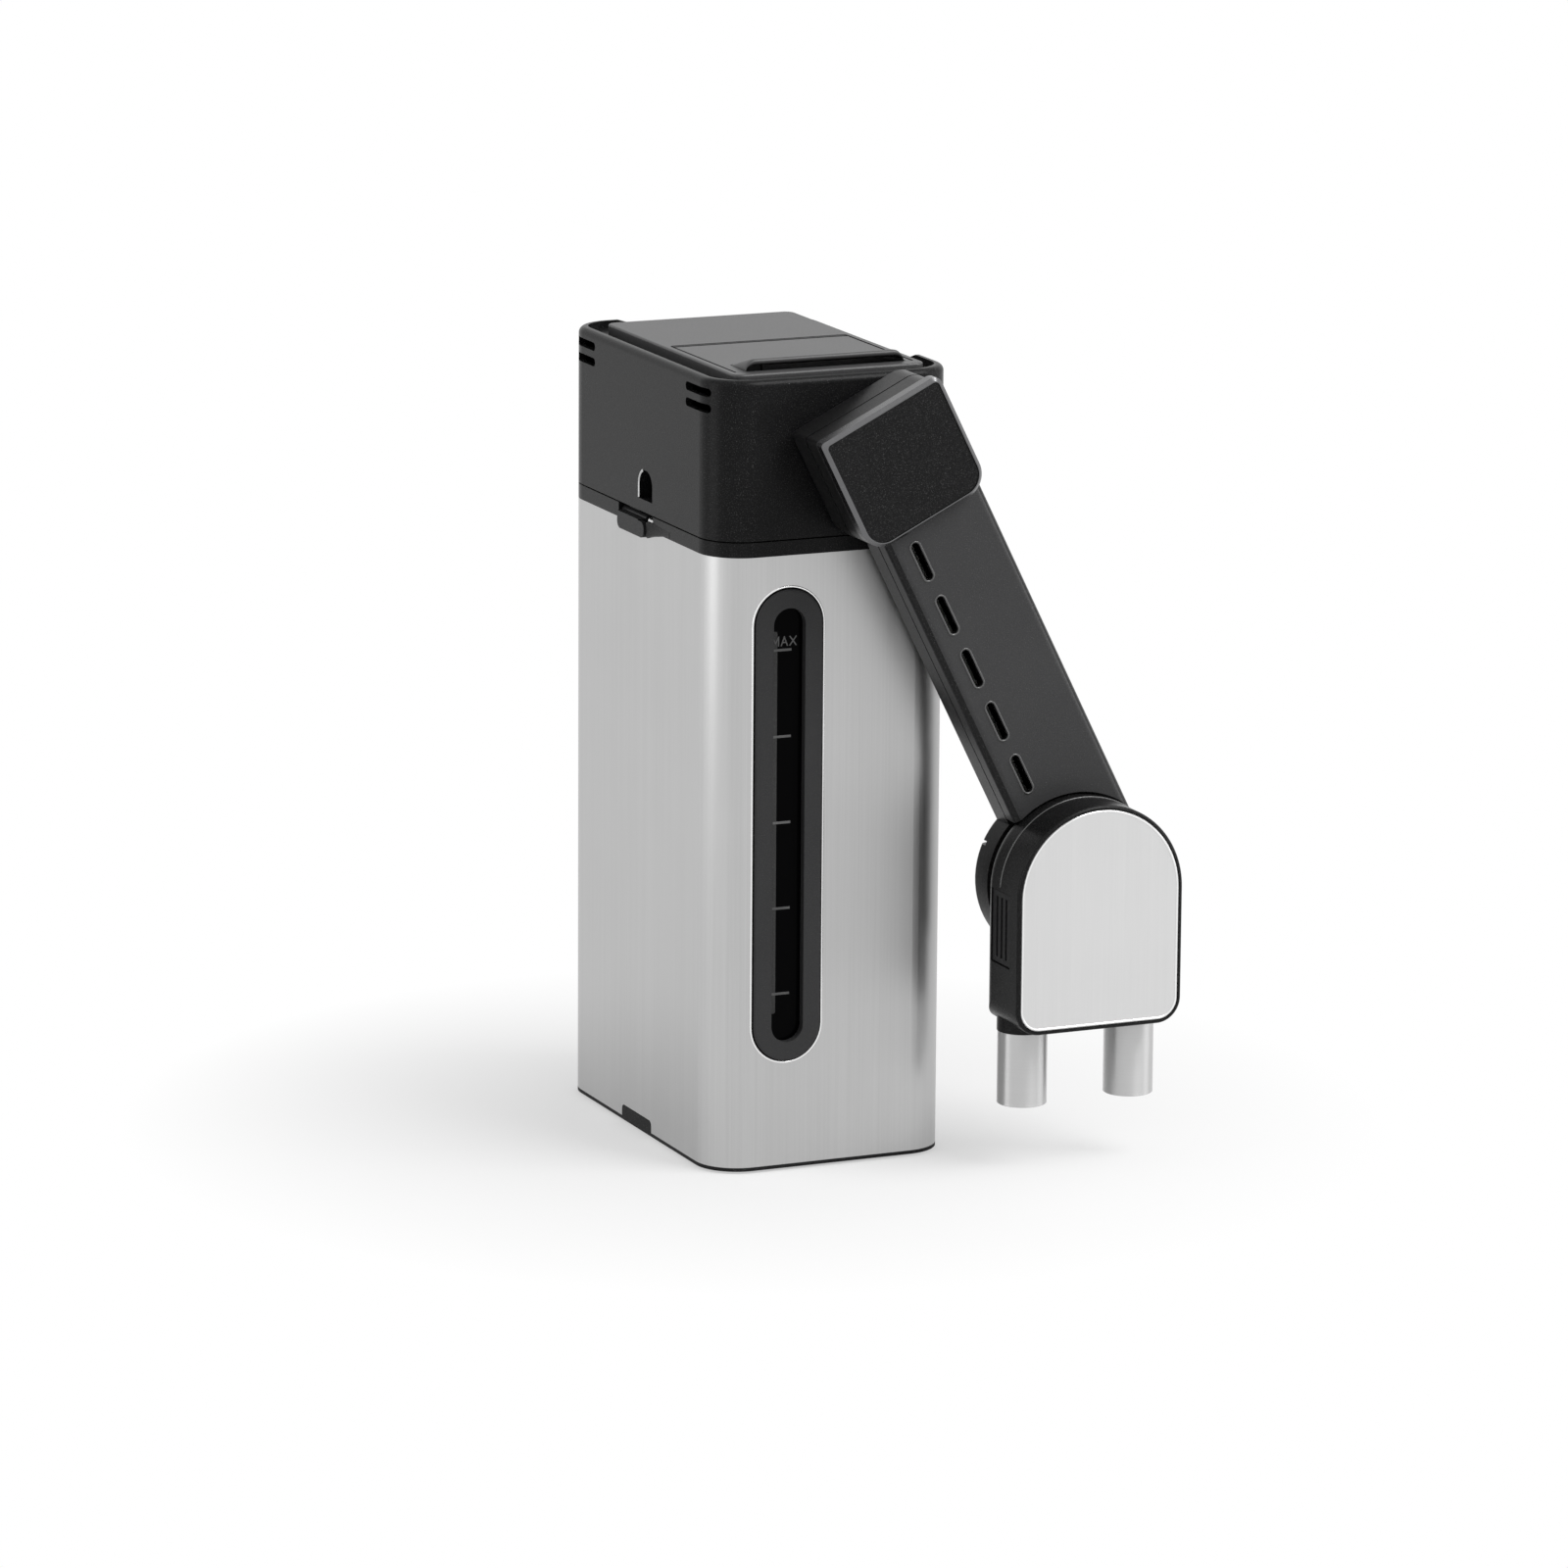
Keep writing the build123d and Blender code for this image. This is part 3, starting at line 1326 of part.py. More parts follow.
for px, pz in spout_screws_at:
    spout_back_shell += rod_y(px, pz, small_boss, spout_split, spout_back - shell_wall)
    spout_back_shell -= rod_y(px, pz, screw_radius + screw_gap, spout_split - 1, spout_back + 1)
    spout_back_shell -= rod_y(px, pz, screw_head_radius + nest_gap, spout_seat, spout_back + 1)
    spout_front_shell += rod_y(px, pz, small_boss, boss_end, spout_split)
    spout_front_shell -= rod_y(px, pz, screw_radius + screw_gap, boss_end, spout_split + 1)
save(spout_back_shell, "spout_back_shell")
save(spout_front_shell, "spout_front_shell")
spout_screw_length = spout_back_depth - screw_head_height + spout_screw_bite
spout_screws = Compound(
    children=[
        back_screw(px, spout_seat, pz, spout_screw_length)
        for px, pz in spout_screws_at
    ]
)
save(spout_screws, "spout_screws")

face_plate = front_prism(spout_outline(-spout_rim - plate_gap), spout_front, spout_front - plate_thickness)
save(face_plate, "face_plate")

# Elbow spindle, its retaining ring and the spout manifold
spout_in = spout_back - shell_wall
elbow_spindle = rod_y(elbow_x, elbow_z, spindle_radius, spout_in - spindle_flange_depth, elbow_end)
elbow_spindle += rod_y(elbow_x, elbow_z, spindle_flange, spout_in - spindle_flange_depth, spout_in)
ring_front = plate_inner + ring_room / 2
groove = rod_y(elbow_x, elbow_z, spindle_radius + 1, ring_front, ring_front + ring_width)
groove_radius = spindle_radius - ring_groove
groove -= rod_y(elbow_x, elbow_z, groove_radius, ring_front - 1, ring_front + ring_width + 1)
elbow_spindle -= groove
elbow_ports = [(elbow_x + sx * spindle_port_offset, elbow_z) for sx in (-1, 1)]
for px, pz in elbow_ports:
    elbow_spindle -= rod_y(px, pz, spindle_port, spout_in - spindle_flange_depth - 1, elbow_end + 1)
save(elbow_spindle, "elbow_spindle")
elbow_ring = rod_y(elbow_x, elbow_z, ring_radius, ring_front, ring_front + ring_width)
elbow_ring -= rod_y(elbow_x, elbow_z, groove_radius, ring_front - 1, ring_front + ring_width + 1)
save(elbow_ring, "elbow_ring")

neck_back = spout_in - spindle_flange_depth
manifold_top = manifold_low + manifold_height
spout_manifold = block(
    elbow_x - spout_half,
    elbow_x + spout_half,
    tube_y - manifold_front,
    spout_in - nest_gap,
    manifold_low,
    manifold_top,
)
spout_manifold &= spout_round(-shell_wall - nest_gap, spout_front)
spout_manifold += block(
    elbow_x - manifold_neck,
    elbow_x + manifold_neck,
    neck_back - manifold_neck_depth,
    neck_back,
    manifold_low,
    elbow_z,
)
spout_manifold += rod_y(elbow_x, elbow_z, manifold_neck, neck_back - manifold_neck_depth, neck_back)
duct_y = neck_back - manifold_neck_depth / 2
for px, (qx, qz) in zip(tubes_at, elbow_ports):
    spout_manifold -= rod_z(px, tube_y, tube_neck + stub_gap, manifold_low - 1, manifold_low + tube_seat)
    spout_manifold -= rod_y(qx, qz, spindle_port, duct_y, neck_back + 1)
    spout_manifold -= rod_z(qx, duct_y, spindle_port, manifold_low + tube_seat / 2, elbow_z)
for px, pz in spout_screws_at:
    spout_manifold -= rod_y(px, pz, small_boss + nest_gap, spout_face, spout_back)
save(spout_manifold, "spout_manifold")

# Outlet tubes with their collars
for px, name in zip(tubes_at, ("supply_tube", "return_tube")):
    tube = rod_z(px, tube_y, tube_radius, tube_bottom, collar_low)
    tube = tube - rod_z(px, tube_y, tube_radius - tube_wall, tube_bottom - 1, collar_low - tube_wall)
    tube += rod_z(px, tube_y, tube_neck, collar_low - tube_wall, manifold_low + tube_seat - nest_gap)
    tube -= rod_z(px, tube_y, tube_neck_bore, collar_low - tube_wall - 1, manifold_low + tube_seat + 1)
    save(tube, name)
tube_collars = Compound(
    children=[
        rod_z(px, tube_y, tube_collar_radius, collar_low, collar_high)
        - rod_z(px, tube_y, tube_neck + stub_gap, collar_low - 1, collar_high + 1)
        for px in tubes_at
    ]
)
save(tube_collars, "tube_collars")

# Release clips on both sides, each with its spring
clip_mid_y = (clip_back + clip_front) / 2
clip_mid_z = (clip_top + clip_bottom) / 2
seat_x = elbow_x - spout_half + shell_wall + clip_pad
face_x = elbow_x - spout_half + clip_inset
clip = block(face_x, seat_x, clip_front, clip_back, clip_bottom, clip_top)
clip += block(
    seat_x,
    seat_x + clip_flange,
    clip_front - clip_flange_lap,
    clip_back + clip_flange_lap,
    clip_bottom - clip_flange_lap,
    clip_top + clip_flange_lap,
)
cup_radius = clip_spring_radius + nest_gap * 2 + clip_cup_wall
cup_end = seat_x + clip_flange + clip_cup_depth
clip += rod_x(clip_mid_y, clip_mid_z, cup_radius, seat_x + clip_flange / 2, cup_end)
clip -= rod_x(clip_mid_y, clip_mid_z, clip_spring_radius + nest_gap * 2, seat_x + clip_flange, cup_end + 1)
rib_pitch = clip_width / (clip_ribs + 1)
for index in range(clip_ribs):
    rib_y0 = clip_front + (index + 1) * rib_pitch - clip_rib
    clip -= block(face_x - 1, face_x + clip_rib, rib_y0, rib_y0 + clip_rib * 2, clip_bottom + 2, clip_top - 2)
spring_start = seat_x + clip_flange + clip_travel + nest_gap
clip_spring = rod_x(clip_mid_y, clip_mid_z, clip_spring_radius, spring_start, elbow_x - manifold_neck)
clip_spring -= rod_x(
    clip_mid_y, clip_mid_z, clip_spring_radius - spring_wire, spring_start - 1, elbow_x - manifold_neck + 1
)
across = Plane(origin=(elbow_x, 0, 0), z_dir=(1, 0, 0))
save(clip, "release_clip_left")
save(mirror(clip, about=across), "release_clip_right")
save(Compound(children=[clip_spring, mirror(clip_spring, about=across)]), "clip_springs")
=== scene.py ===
import math

import bpy
import numpy as np
from mathutils import Matrix, Vector


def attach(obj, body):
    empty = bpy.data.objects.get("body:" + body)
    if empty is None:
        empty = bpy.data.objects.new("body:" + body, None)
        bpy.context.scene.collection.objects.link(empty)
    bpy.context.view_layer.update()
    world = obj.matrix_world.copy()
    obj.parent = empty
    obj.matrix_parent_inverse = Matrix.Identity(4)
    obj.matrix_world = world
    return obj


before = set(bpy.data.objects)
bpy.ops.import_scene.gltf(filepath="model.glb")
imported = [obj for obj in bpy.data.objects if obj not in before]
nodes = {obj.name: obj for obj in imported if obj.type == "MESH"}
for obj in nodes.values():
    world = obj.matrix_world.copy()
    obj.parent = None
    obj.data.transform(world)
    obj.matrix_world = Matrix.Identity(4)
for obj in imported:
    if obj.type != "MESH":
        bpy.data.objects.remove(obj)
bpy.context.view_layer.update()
scene = bpy.context.scene
scene.view_settings.view_transform = "Standard"
print("frame loaded:", len(nodes), "nodes")


# camera at the photograph's viewpoint
cameraLook = {
    "place": (-1.221146, -2.809299, 0.820520),  # metres
    "azimuth": -23.6887,
    "elevation": 12.7074,
    "roll": 0.3948,
    "focal": 8516.63,  # in pixels of a frame this wide:
    "frame": 1600,
    "sensor": 36,
    "reach": 60,
}


def addCamera(look):
    azimuth, elevation, roll = (math.radians(look[key]) for key in ("azimuth", "elevation", "roll"))
    level = math.cos(elevation)
    back = Vector((math.sin(azimuth) * level, -math.cos(azimuth) * level, math.sin(elevation)))
    right = (-back).cross(Vector((0, 0, 1))).normalized()
    up = right.cross(-back)
    across = math.cos(roll) * right + math.sin(roll) * up
    upward = math.cos(roll) * up - math.sin(roll) * right
    data = bpy.data.cameras.new("photoCamera")
    data.sensor_width = look["sensor"]
    data.lens = look["focal"] / look["frame"] * data.sensor_width
    data.clip_end = look["reach"]
    cam = bpy.data.objects.new("photoCamera", data)
    scene.collection.objects.link(cam)
    turn = Matrix((across, upward, back)).transposed().to_4x4()
    cam.matrix_world = Matrix.Translation(look["place"]) @ turn
    scene.camera = cam


addCamera(cameraLook)
print("camera set")


# a shader socket that can stand in a sum: 1 - mask, noise * 0.2 + 0.4
class Wire:
    def __init__(self, maker, socket):
        self.maker, self.socket = maker, socket

    def math(self, operation, first, second):
        return self.maker.add("Math", {"operation": operation}, {0: first, 1: second})

    def __add__(self, other):
        return self.math("ADD", self, other)

    def __radd__(self, other):
        return self.math("ADD", other, self)

    def __sub__(self, other):
        return self.math("SUBTRACT", self, other)

    def __rsub__(self, other):
        return self.math("SUBTRACT", other, self)

    def __mul__(self, other):
        return self.math("MULTIPLY", self, other)

    def __rmul__(self, other):
        return self.math("MULTIPLY", other, self)

    def __pow__(self, other):
        return self.math("POWER", self, other)

    def above(self, level):
        return self.math("GREATER_THAN", self, level)

    def atLeast(self, level):
        return self.math("MAXIMUM", self, level)


# one node tree, of a material or of the world
class Tree:
    def __init__(self, owner):
        owner.use_nodes = True
        self.owner, self.tree = owner, owner.node_tree
        self.tree.nodes.clear()

    def add(self, kind, settings=None, sockets=None, out=0):
        node = self.tree.nodes.new("ShaderNode" + kind)
        for key, value in (settings or {}).items():
            setattr(node, key, value)
        for key, value in (sockets or {}).items():
            if isinstance(value, Wire):
                self.tree.links.new(value.socket, node.inputs[key])
            else:
                node.inputs[key].default_value = value
        return Wire(self, node.outputs[out]) if len(node.outputs) else None

    def place(self, stretch=(1, 1, 1)):  # object coordinates, stretched
        point = self.add("TexCoord", out="Object")
        return self.add("Mapping", None, {"Vector": point, "Scale": stretch})

    def noise(self, scale, stretch=(1, 1, 1), detail=3.0, rough=0.55):
        spot = {"Vector": self.place(stretch), "Scale": scale, "Detail": detail, "Roughness": rough}
        return self.add("TexNoise", None, spot, out="Fac")

    def blend(self, amount, first, second):  # colour mix
        ends = [tone if isinstance(tone, Wire) else (*tone, 1) for tone in (first, second)]
        return self.add("Mix", {"data_type": "RGBA"}, {0: amount, 6: ends[0], 7: ends[1]}, out=2)

    def bump(self, height, depth):
        return self.add("Bump", None, {"Strength": 1.0, "Distance": depth, "Height": height})

    def finish(self, sockets):
        shader = self.add("BsdfPrincipled", None, sockets)
        self.add("OutputMaterial", None, {"Surface": shader})
        return self.owner


def newFinish(name):
    return Tree(bpy.data.materials.new(name))


def dress(material, *names):
    for name in names:
        nodes[name].data.materials.clear()
        nodes[name].data.materials.append(material)


noiseMiddle = 0.5  # about the mean of a noise


# moulded plastic: a fine grain in bump and gloss, broad clouds in tone and gloss, a haze of grey dust, and
# where a face depth is given, painted shade on the walls behind the front face
def mouldedPlastic(name, look):
    t = newFinish(name)
    grain = t.noise(look["grain"], detail=2.0)
    cloud = t.noise(look["cloud"], detail=4.0)
    haze = t.noise(look["grain"] * look["dustScale"], detail=0.0) ** look["dust"]
    tone = t.blend(cloud, look["dark"], look["light"])
    if "face" in look:  # painted shade: the walls behind the front face take a much darker tone than the face
        depth = t.add("SeparateXYZ", None, {0: t.place()}, out="Y") * -1
        tone = t.blend(depth.above(look["face"]), look["wall"], tone)
    cloudGloss = (cloud - noiseMiddle) * look["glossSpread"]
    grainGloss = (grain - noiseMiddle) * look["grainGloss"]
    return t.finish(
        {
            "Base Color": t.blend(haze, tone, look["dustTone"]),
            "Roughness": cloudGloss + grainGloss + look["rough"],
            "Specular IOR Level": look["specular"],
            "Normal": t.bump(grain, look["depth"]),
        }
    )


steelMix = {"fineShare": 0.6, "scratchShare": 0.7, "smudgeGloss": 0.05}


# metal: fine and wide scratches in tone, gloss and bump, drawn out on the axes where along is small,
# and slow smudges in tone and gloss
def brushedSteel(name, look):
    t = newFinish(name)
    fine = t.noise(look["fine"], look["along"], detail=2.0, rough=0.7)
    wide = t.noise(look["wide"], look["along"], detail=3.0)
    smudge = t.noise(look["smudge"], detail=3.0)
    scratch = fine * steelMix["fineShare"] + wide * (1 - steelMix["fineShare"])
    mix = scratch * steelMix["scratchShare"] + smudge * (1 - steelMix["scratchShare"])
    scratchGloss = (scratch - noiseMiddle) * look["glossSpread"]
    smudgeGloss = (smudge - noiseMiddle) * steelMix["smudgeGloss"]
    return t.finish(
        {
            "Base Color": t.blend(mix, look["dark"], look["light"]),
            "Metallic": 1.0,
            "Anisotropic": look["drawn"],
            "Anisotropic Rotation": look["turned"],
            "Roughness": scratchGloss + smudgeGloss + look["rough"],
            "Normal": t.bump(scratch, look["depth"]),
        }
    )


cladding = {
    "fine": 1500,
    "wide": 240,
    "along": (1, 1, 0.006),
    "drawn": 0.55,
    "turned": 0.0,
    "smudge": 14,
    "dark": (0.42, 0.42, 0.42),
    "light": (0.60, 0.60, 0.60),
    "rough": 0.36,
    "glossSpread": 0.16,
    "depth": 0.000012,
}
dress(brushedSteel("brushedCladding", cladding), "steel_sleeve")

plate = {
    "fine": 2200,
    "wide": 420,
    "along": (1, 1, 0.01),
    "drawn": 0.3,
    "turned": 0.0,
    "smudge": 25,
    "dark": (0.62, 0.62, 0.62),
    "light": (0.74, 0.74, 0.74),
    "rough": 0.42,
    "glossSpread": 0.10,
    "depth": 0.000005,
}
dress(brushedSteel("plateSteel", plate), "face_plate")

tube = {
    "fine": 1800,
    "wide": 500,
    "along": (0.01, 0.01, 1),
    "drawn": 0.85,
    "turned": 0.25,
    "smudge": 40,
    "dark": (0.48, 0.48, 0.48),
    "light": (0.60, 0.60, 0.60),
    "rough": 0.38,
    "glossSpread": 0.08,
    "depth": 0.000002,
}
dress(brushedSteel("tubeSteel", tube), "supply_tube", "return_tube")

smallSteel = {
    "fine": 2500,
    "wide": 700,
    "along": (1, 1, 1),
    "drawn": 0.0,
    "turned": 0.0,
    "smudge": 90,
    "dark": (0.5, 0.5, 0.5),
    "light": (0.7, 0.7, 0.7),
    "rough": 0.25,
    "glossSpread": 0.1,
    "depth": 0.000003,
}
dress(
    brushedSteel("smallSteel", smallSteel),
    "latch_pin", "latch_spring", "flap_pin", "temp_sensor", "elbow_ring", "clip_springs",
    "head_screws", "arm_screws", "spout_screws", "pump_motor",
)

headPlastic = {
    "grain": 1800,
    "cloud": 22,
    "dust": 7.0,
    "dustScale": 1.7,
    "dustTone": (0.2, 0.2, 0.2),
    "dark": (0.004, 0.004, 0.0043),
    "light": (0.008, 0.008, 0.0084),
    "rough": 0.30,
    "glossSpread": 0.06,
    "grainGloss": 0.12,
    "specular": 0.09,
    "depth": 0.00003,
}
dress(mouldedPlastic("headPlastic", headPlastic), "head_shell", "tank_collar")

# painted sheen: the lid and flap are the head's black plastic with the base made ten times lighter to stand
# in for the grey reflection on their tops; the higher gloss is real
lidPlasticPaintedSheen = dict(
    headPlastic, grain=1500, rough=0.42, specular=0.46,
    dark=(0.040, 0.040, 0.041), light=(0.060, 0.060, 0.061),
)
dress(mouldedPlastic("lidPlasticPaintedSheen", lidPlasticPaintedSheen), "top_lid", "fill_flap")

# painted shade: the arm's walls and back shell, behind its front face, get a far darker tone than the face
armPlasticWithPaintedShade = dict(
    headPlastic, grain=1600, rough=0.30, specular=0.16, face=0.0981, wall=(0.006, 0.006, 0.0063),
    dark=(0.040, 0.040, 0.041), light=(0.053, 0.053, 0.054),
)
dress(mouldedPlastic("armPlasticWithPaintedShade", armPlasticWithPaintedShade), "arm_back_shell", "arm_front_cover", "elbow_plate")

capSatin = dict(smallSteel, fine=2600, rough=0.26, dark=(0.12, 0.12, 0.123), light=(0.18, 0.18, 0.184))
dress(brushedSteel("capSatin", capSatin), "cap_frame")

capDark = dict(
    headPlastic, grain=2200, rough=0.3, specular=0.12,
    dark=(0.004, 0.004, 0.0043), light=(0.008, 0.008, 0.0083),
)
dress(mouldedPlastic("capDark", capDark), "cap_panel")

spoutGloss = dict(
    headPlastic, grain=2200, rough=0.28, specular=0.13, depth=0.00001,
    dark=(0.003, 0.003, 0.0032), light=(0.006, 0.006, 0.0063),
)
dress(mouldedPlastic("spoutGloss", spoutGloss), "spout_back_shell", "spout_front_shell", "tube_collars")

bezelPlastic = dict(
    headPlastic, grain=1900, rough=0.45, specular=0.14,
    dark=(0.030, 0.030, 0.031), light=(0.046, 0.046, 0.047),
)
dress(mouldedPlastic("bezelPlastic", bezelPlastic), "window_bezel")

basePlastic = dict(
    headPlastic, grain=1200, rough=0.55, dark=(0.008, 0.008, 0.0085), light=(0.018, 0.018, 0.0185)
)
dress(mouldedPlastic("basePlastic", basePlastic), "base_pan")

latchPlastic = dict(
    headPlastic, grain=2000, rough=0.38, dark=(0.014, 0.014, 0.015), light=(0.026, 0.026, 0.027)
)
dress(mouldedPlastic("latchPlastic", latchPlastic), "latch_lever", "release_clip_left", "release_clip_right")

socketPlastic = dict(headPlastic, grain=2400, rough=0.3, depth=0.00001)
dress(mouldedPlastic("socketPlastic", socketPlastic), "probe_socket", "mains_inlet")

rubber = dict(headPlastic, grain=900, dark=(0.015, 0.015, 0.015), light=(0.035, 0.034, 0.033), rough=0.75)
dress(mouldedPlastic("footRubber", rubber), "base_pad", "collar_seal", "window_gasket")

linerPlastic = dict(headPlastic, grain=700, dark=(0.05, 0.05, 0.052), light=(0.075, 0.075, 0.078), rough=0.42)
dress(mouldedPlastic("linerPlastic", linerPlastic), "tank_liner", "window_clamp")

naturalPlastic = dict(
    headPlastic, grain=800, rough=0.42, specular=0.5, dust=9.0,
    dark=(0.55, 0.55, 0.53), light=(0.68, 0.68, 0.66),
)
dress(
    mouldedPlastic("naturalPlastic", naturalPlastic),
    "head_floor", "fill_duct", "pump_housing", "intake_tube", "intake_strainer", "shoulder_union",
    "elbow_manifold", "spout_manifold", "pump_rotor",
)

bushPlastic = dict(headPlastic, grain=1000, dark=(0.05, 0.05, 0.05), light=(0.08, 0.08, 0.08), rough=0.5)
dress(
    mouldedPlastic("bushPlastic", bushPlastic),
    "shoulder_bush", "shoulder_spindle", "shoulder_nut", "elbow_spindle",
)

hoseSilicone = dict(
    headPlastic, grain=500, rough=0.5, specular=0.5, dust=9.0,
    dark=(0.6, 0.6, 0.57), light=(0.72, 0.72, 0.7),
)
dress(mouldedPlastic("hoseSilicone", hoseSilicone), "pump_hose", "supply_hose", "return_hose", "arm_hoses")

markInk = dict(
    headPlastic, grain=3000, cloud=70, rough=0.6, dust=9.0, dark=(0.03, 0.03, 0.03), light=(0.22, 0.22, 0.22)
)
dress(mouldedPlastic("markInk", markInk), "level_marks")

boardMask = dict(headPlastic, grain=600, dark=(0.01, 0.06, 0.025), light=(0.02, 0.11, 0.045), rough=0.35)
dress(mouldedPlastic("boardMask", boardMask), "control_board")

heaterMetal = dict(smallSteel, fine=900, rough=0.42, dark=(0.5, 0.5, 0.51), light=(0.68, 0.68, 0.69))
dress(brushedSteel("heaterMetal", heaterMetal), "flow_heater")

pinBrass = dict(smallSteel, dark=(0.55, 0.42, 0.18), light=(0.72, 0.58, 0.3), rough=0.3)
dress(brushedSteel("pinBrass", pinBrass), "inlet_pins")

# the window's pane, black as painted shade of the tank's inside
pane = {
    "shadeTint": (0.0016, 0.0016, 0.0018),
    "fade": 0.7,
    "rough": 0.10,
    "grime": 30,
    "grimeGloss": 0.08,
    "specular": 0.02,
}


# painted shade: an opaque near-black pane standing in for the shaded inside of the tank seen through the
# window, with faint water marks in its tone and gloss
def paneOfPaintedShade(look):
    t = newFinish("paneOfPaintedShade")
    grime = t.noise(look["grime"], detail=5.0)
    return t.finish(
        {
            "Base Color": t.blend(grime, look["shadeTint"], tuple(look["fade"] * c for c in look["shadeTint"])),
            "Roughness": grime * look["grimeGloss"] + look["rough"],
            "Specular IOR Level": look["specular"],
        }
    )


dress(paneOfPaintedShade(pane), "window_pane")
print("finishes on", len(nodes), "nodes")


# skin over rows of points: a quad between two neighbours of one row and the same two of the next;
# the columns always close, the rows close too or each end in a fan about its middle
def skin(rows, closed):
    tall, wide = rows.shape[:2]
    row, column = np.meshgrid(np.arange(tall if closed else tall - 1), np.arange(wide), indexing="ij")
    here, onward = row * wide, (row + 1) % tall * wide
    beside = (column + 1) % wide
    quads = np.stack((here + column, onward + column, onward + beside, here + beside), -1).reshape(-1, 4)
    points, fans = rows.reshape(-1, 3), np.empty((0, 3), dtype=int)
    if not closed:
        spot = np.arange(wide)
        after = (spot + 1) % wide
        lastRow = (tall - 1) * wide
        first = np.stack((np.full(wide, tall * wide), spot, after), -1)
        last = np.stack((np.full(wide, tall * wide + 1), lastRow + after, lastRow + spot), -1)
        points = np.vstack((points, rows[0].mean(0), rows[-1].mean(0)))
        fans = np.vstack((first, last))
    triangles = np.vstack((quads[:, :3], quads[:, (0, 2, 3)], fans))
    a, b, c = (points[triangles[:, corner]] for corner in range(3))
    if (a * np.cross(b, c)).sum() < 0:  # the enclosed volume tells which way the faces look
        quads, fans = quads[:, ::-1], fans[:, ::-1]
    return points, quads, fans


def addPiece(name, skins, material, body):
    points, quads, fans = zip(*skins)
    starts = np.cumsum([0] + [len(part) for part in points[:-1]])
    quads = np.vstack([sides + start for sides, start in zip(quads, starts)])
    fans = np.vstack([sides + start for sides, start in zip(fans, starts)])
    mesh = bpy.data.meshes.new(name)
    mesh.from_pydata(np.vstack(points).tolist(), [], quads.tolist() + fans.tolist())
    mesh.polygons.foreach_set("use_smooth", np.ones(len(quads) + len(fans), dtype=bool))
    mesh.materials.append(material)
    piece = bpy.data.objects.new(name, mesh)
    scene.collection.objects.link(piece)
    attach(piece, body)


# rays of a circle: the cosine and sine of every angle
def circleRays(angle):
    return np.stack((np.cos(angle), np.sin(angle)), -1)


doubled = 1e-7  # points nearer than this count as one


# outline of a convex polygon with rounded corners: on each corner an arc about the point
# one radius inside both sides, from the one side's normal to the next's; points and normals
def roundedOutline(corners, radii, steps=14):
    corners = np.array(corners, dtype=float)
    points, normals = [], []
    for q, radius in enumerate(radii):
        before = corners[q] - corners[q - 1]
        after = corners[(q + 1) % len(corners)] - corners[q]
        start = math.atan2(-before[0], before[1])
        turn = math.atan2(before[0] * after[1] - before[1] * after[0], before @ after)
        normal = circleRays(start + turn * np.linspace(0, 1, steps))
        middle = normal[0] + normal[-1]
        centre = corners[q] - middle * radius / (1 + math.cos(turn))
        points.append(centre + normal * radius)
        normals.append(normal)
    points, normals = np.vstack(points), np.vstack(normals)
    kept = np.linalg.norm(points - np.roll(points, 1, 0), axis=1) > doubled
    return points[kept], normals[kept]


def boxCorners(x0, y0, x1, y1):
    return (x0, y0), (x1, y0), (x1, y1), (x0, y1)


# outline set into space: at each point the profile's first number goes along the normal
# and its second along the depth axis
def loft(outline, profile, origin, across, upward, depth):
    points, normals = outline
    profile = np.array(profile)
    flat = points[None] + profile[:, None, :1] * normals[None]
    tall = np.repeat(profile[:, None, 1:], flat.shape[1], 1)
    axes = np.array((across, upward, depth), dtype=float)
    return np.array(origin) + np.concatenate((flat, tall), -1) @ axes


# bead: an ellipse round the point (offset, lift)
def bead(offset, lift, wide, tall, steps=12):
    angle = np.linspace(0, 2 * math.pi, steps, endpoint=False)
    return np.stack((offset + wide * np.cos(angle), lift + tall * np.sin(angle)), -1)


# a profile all the way round an outline
def closedTrim(outline, profile, origin, axes):
    return skin(loft(outline, profile, origin, **axes), True)


# a profile along an open line, with capped ends
def openTrim(outline, profile, origin, axes):
    return skin(loft(outline, profile, origin, **axes).transpose(1, 0, 2), False)


# axes for shapes seen from the front, the left and above, depth toward the viewer
front = {"across": (1, 0, 0), "upward": (0, 0, 1), "depth": (0, -1, 0)}
left = {"across": (0, -1, 0), "upward": (0, 0, 1), "depth": (-1, 0, 0)}
above = {"across": (1, 0, 0), "upward": (0, 1, 0), "depth": (0, 0, 1)}
elbow = {"x": 0.0868, "z": 0.1055}  # where the arm carries the spout
slack = 1e-5  # by which the radius of a full round stays under half the width

# thin rim round the window frame in steel lightened as a painted highlight, and a near-black bead in its gap
# as painted shade
windowLip = {
    "box": (-0.0323, 0.0420, -0.0057, 0.2195),
    "radius": 0.01329,
    "face": -0.0725,
    "rim": bead(0.0009, 0.0, 0.00045, 0.00035),
    "gapShadeBead": bead(0.0002, 0.0, 0.0003, 0.0003),
}
# steel lighter than the sheets it edges: a painted highlight on the edge beads
paintedHighlightSteel = dict(smallSteel, fine=2600, rough=0.2, dark=(0.78, 0.78, 0.78), light=(0.9, 0.9, 0.9))
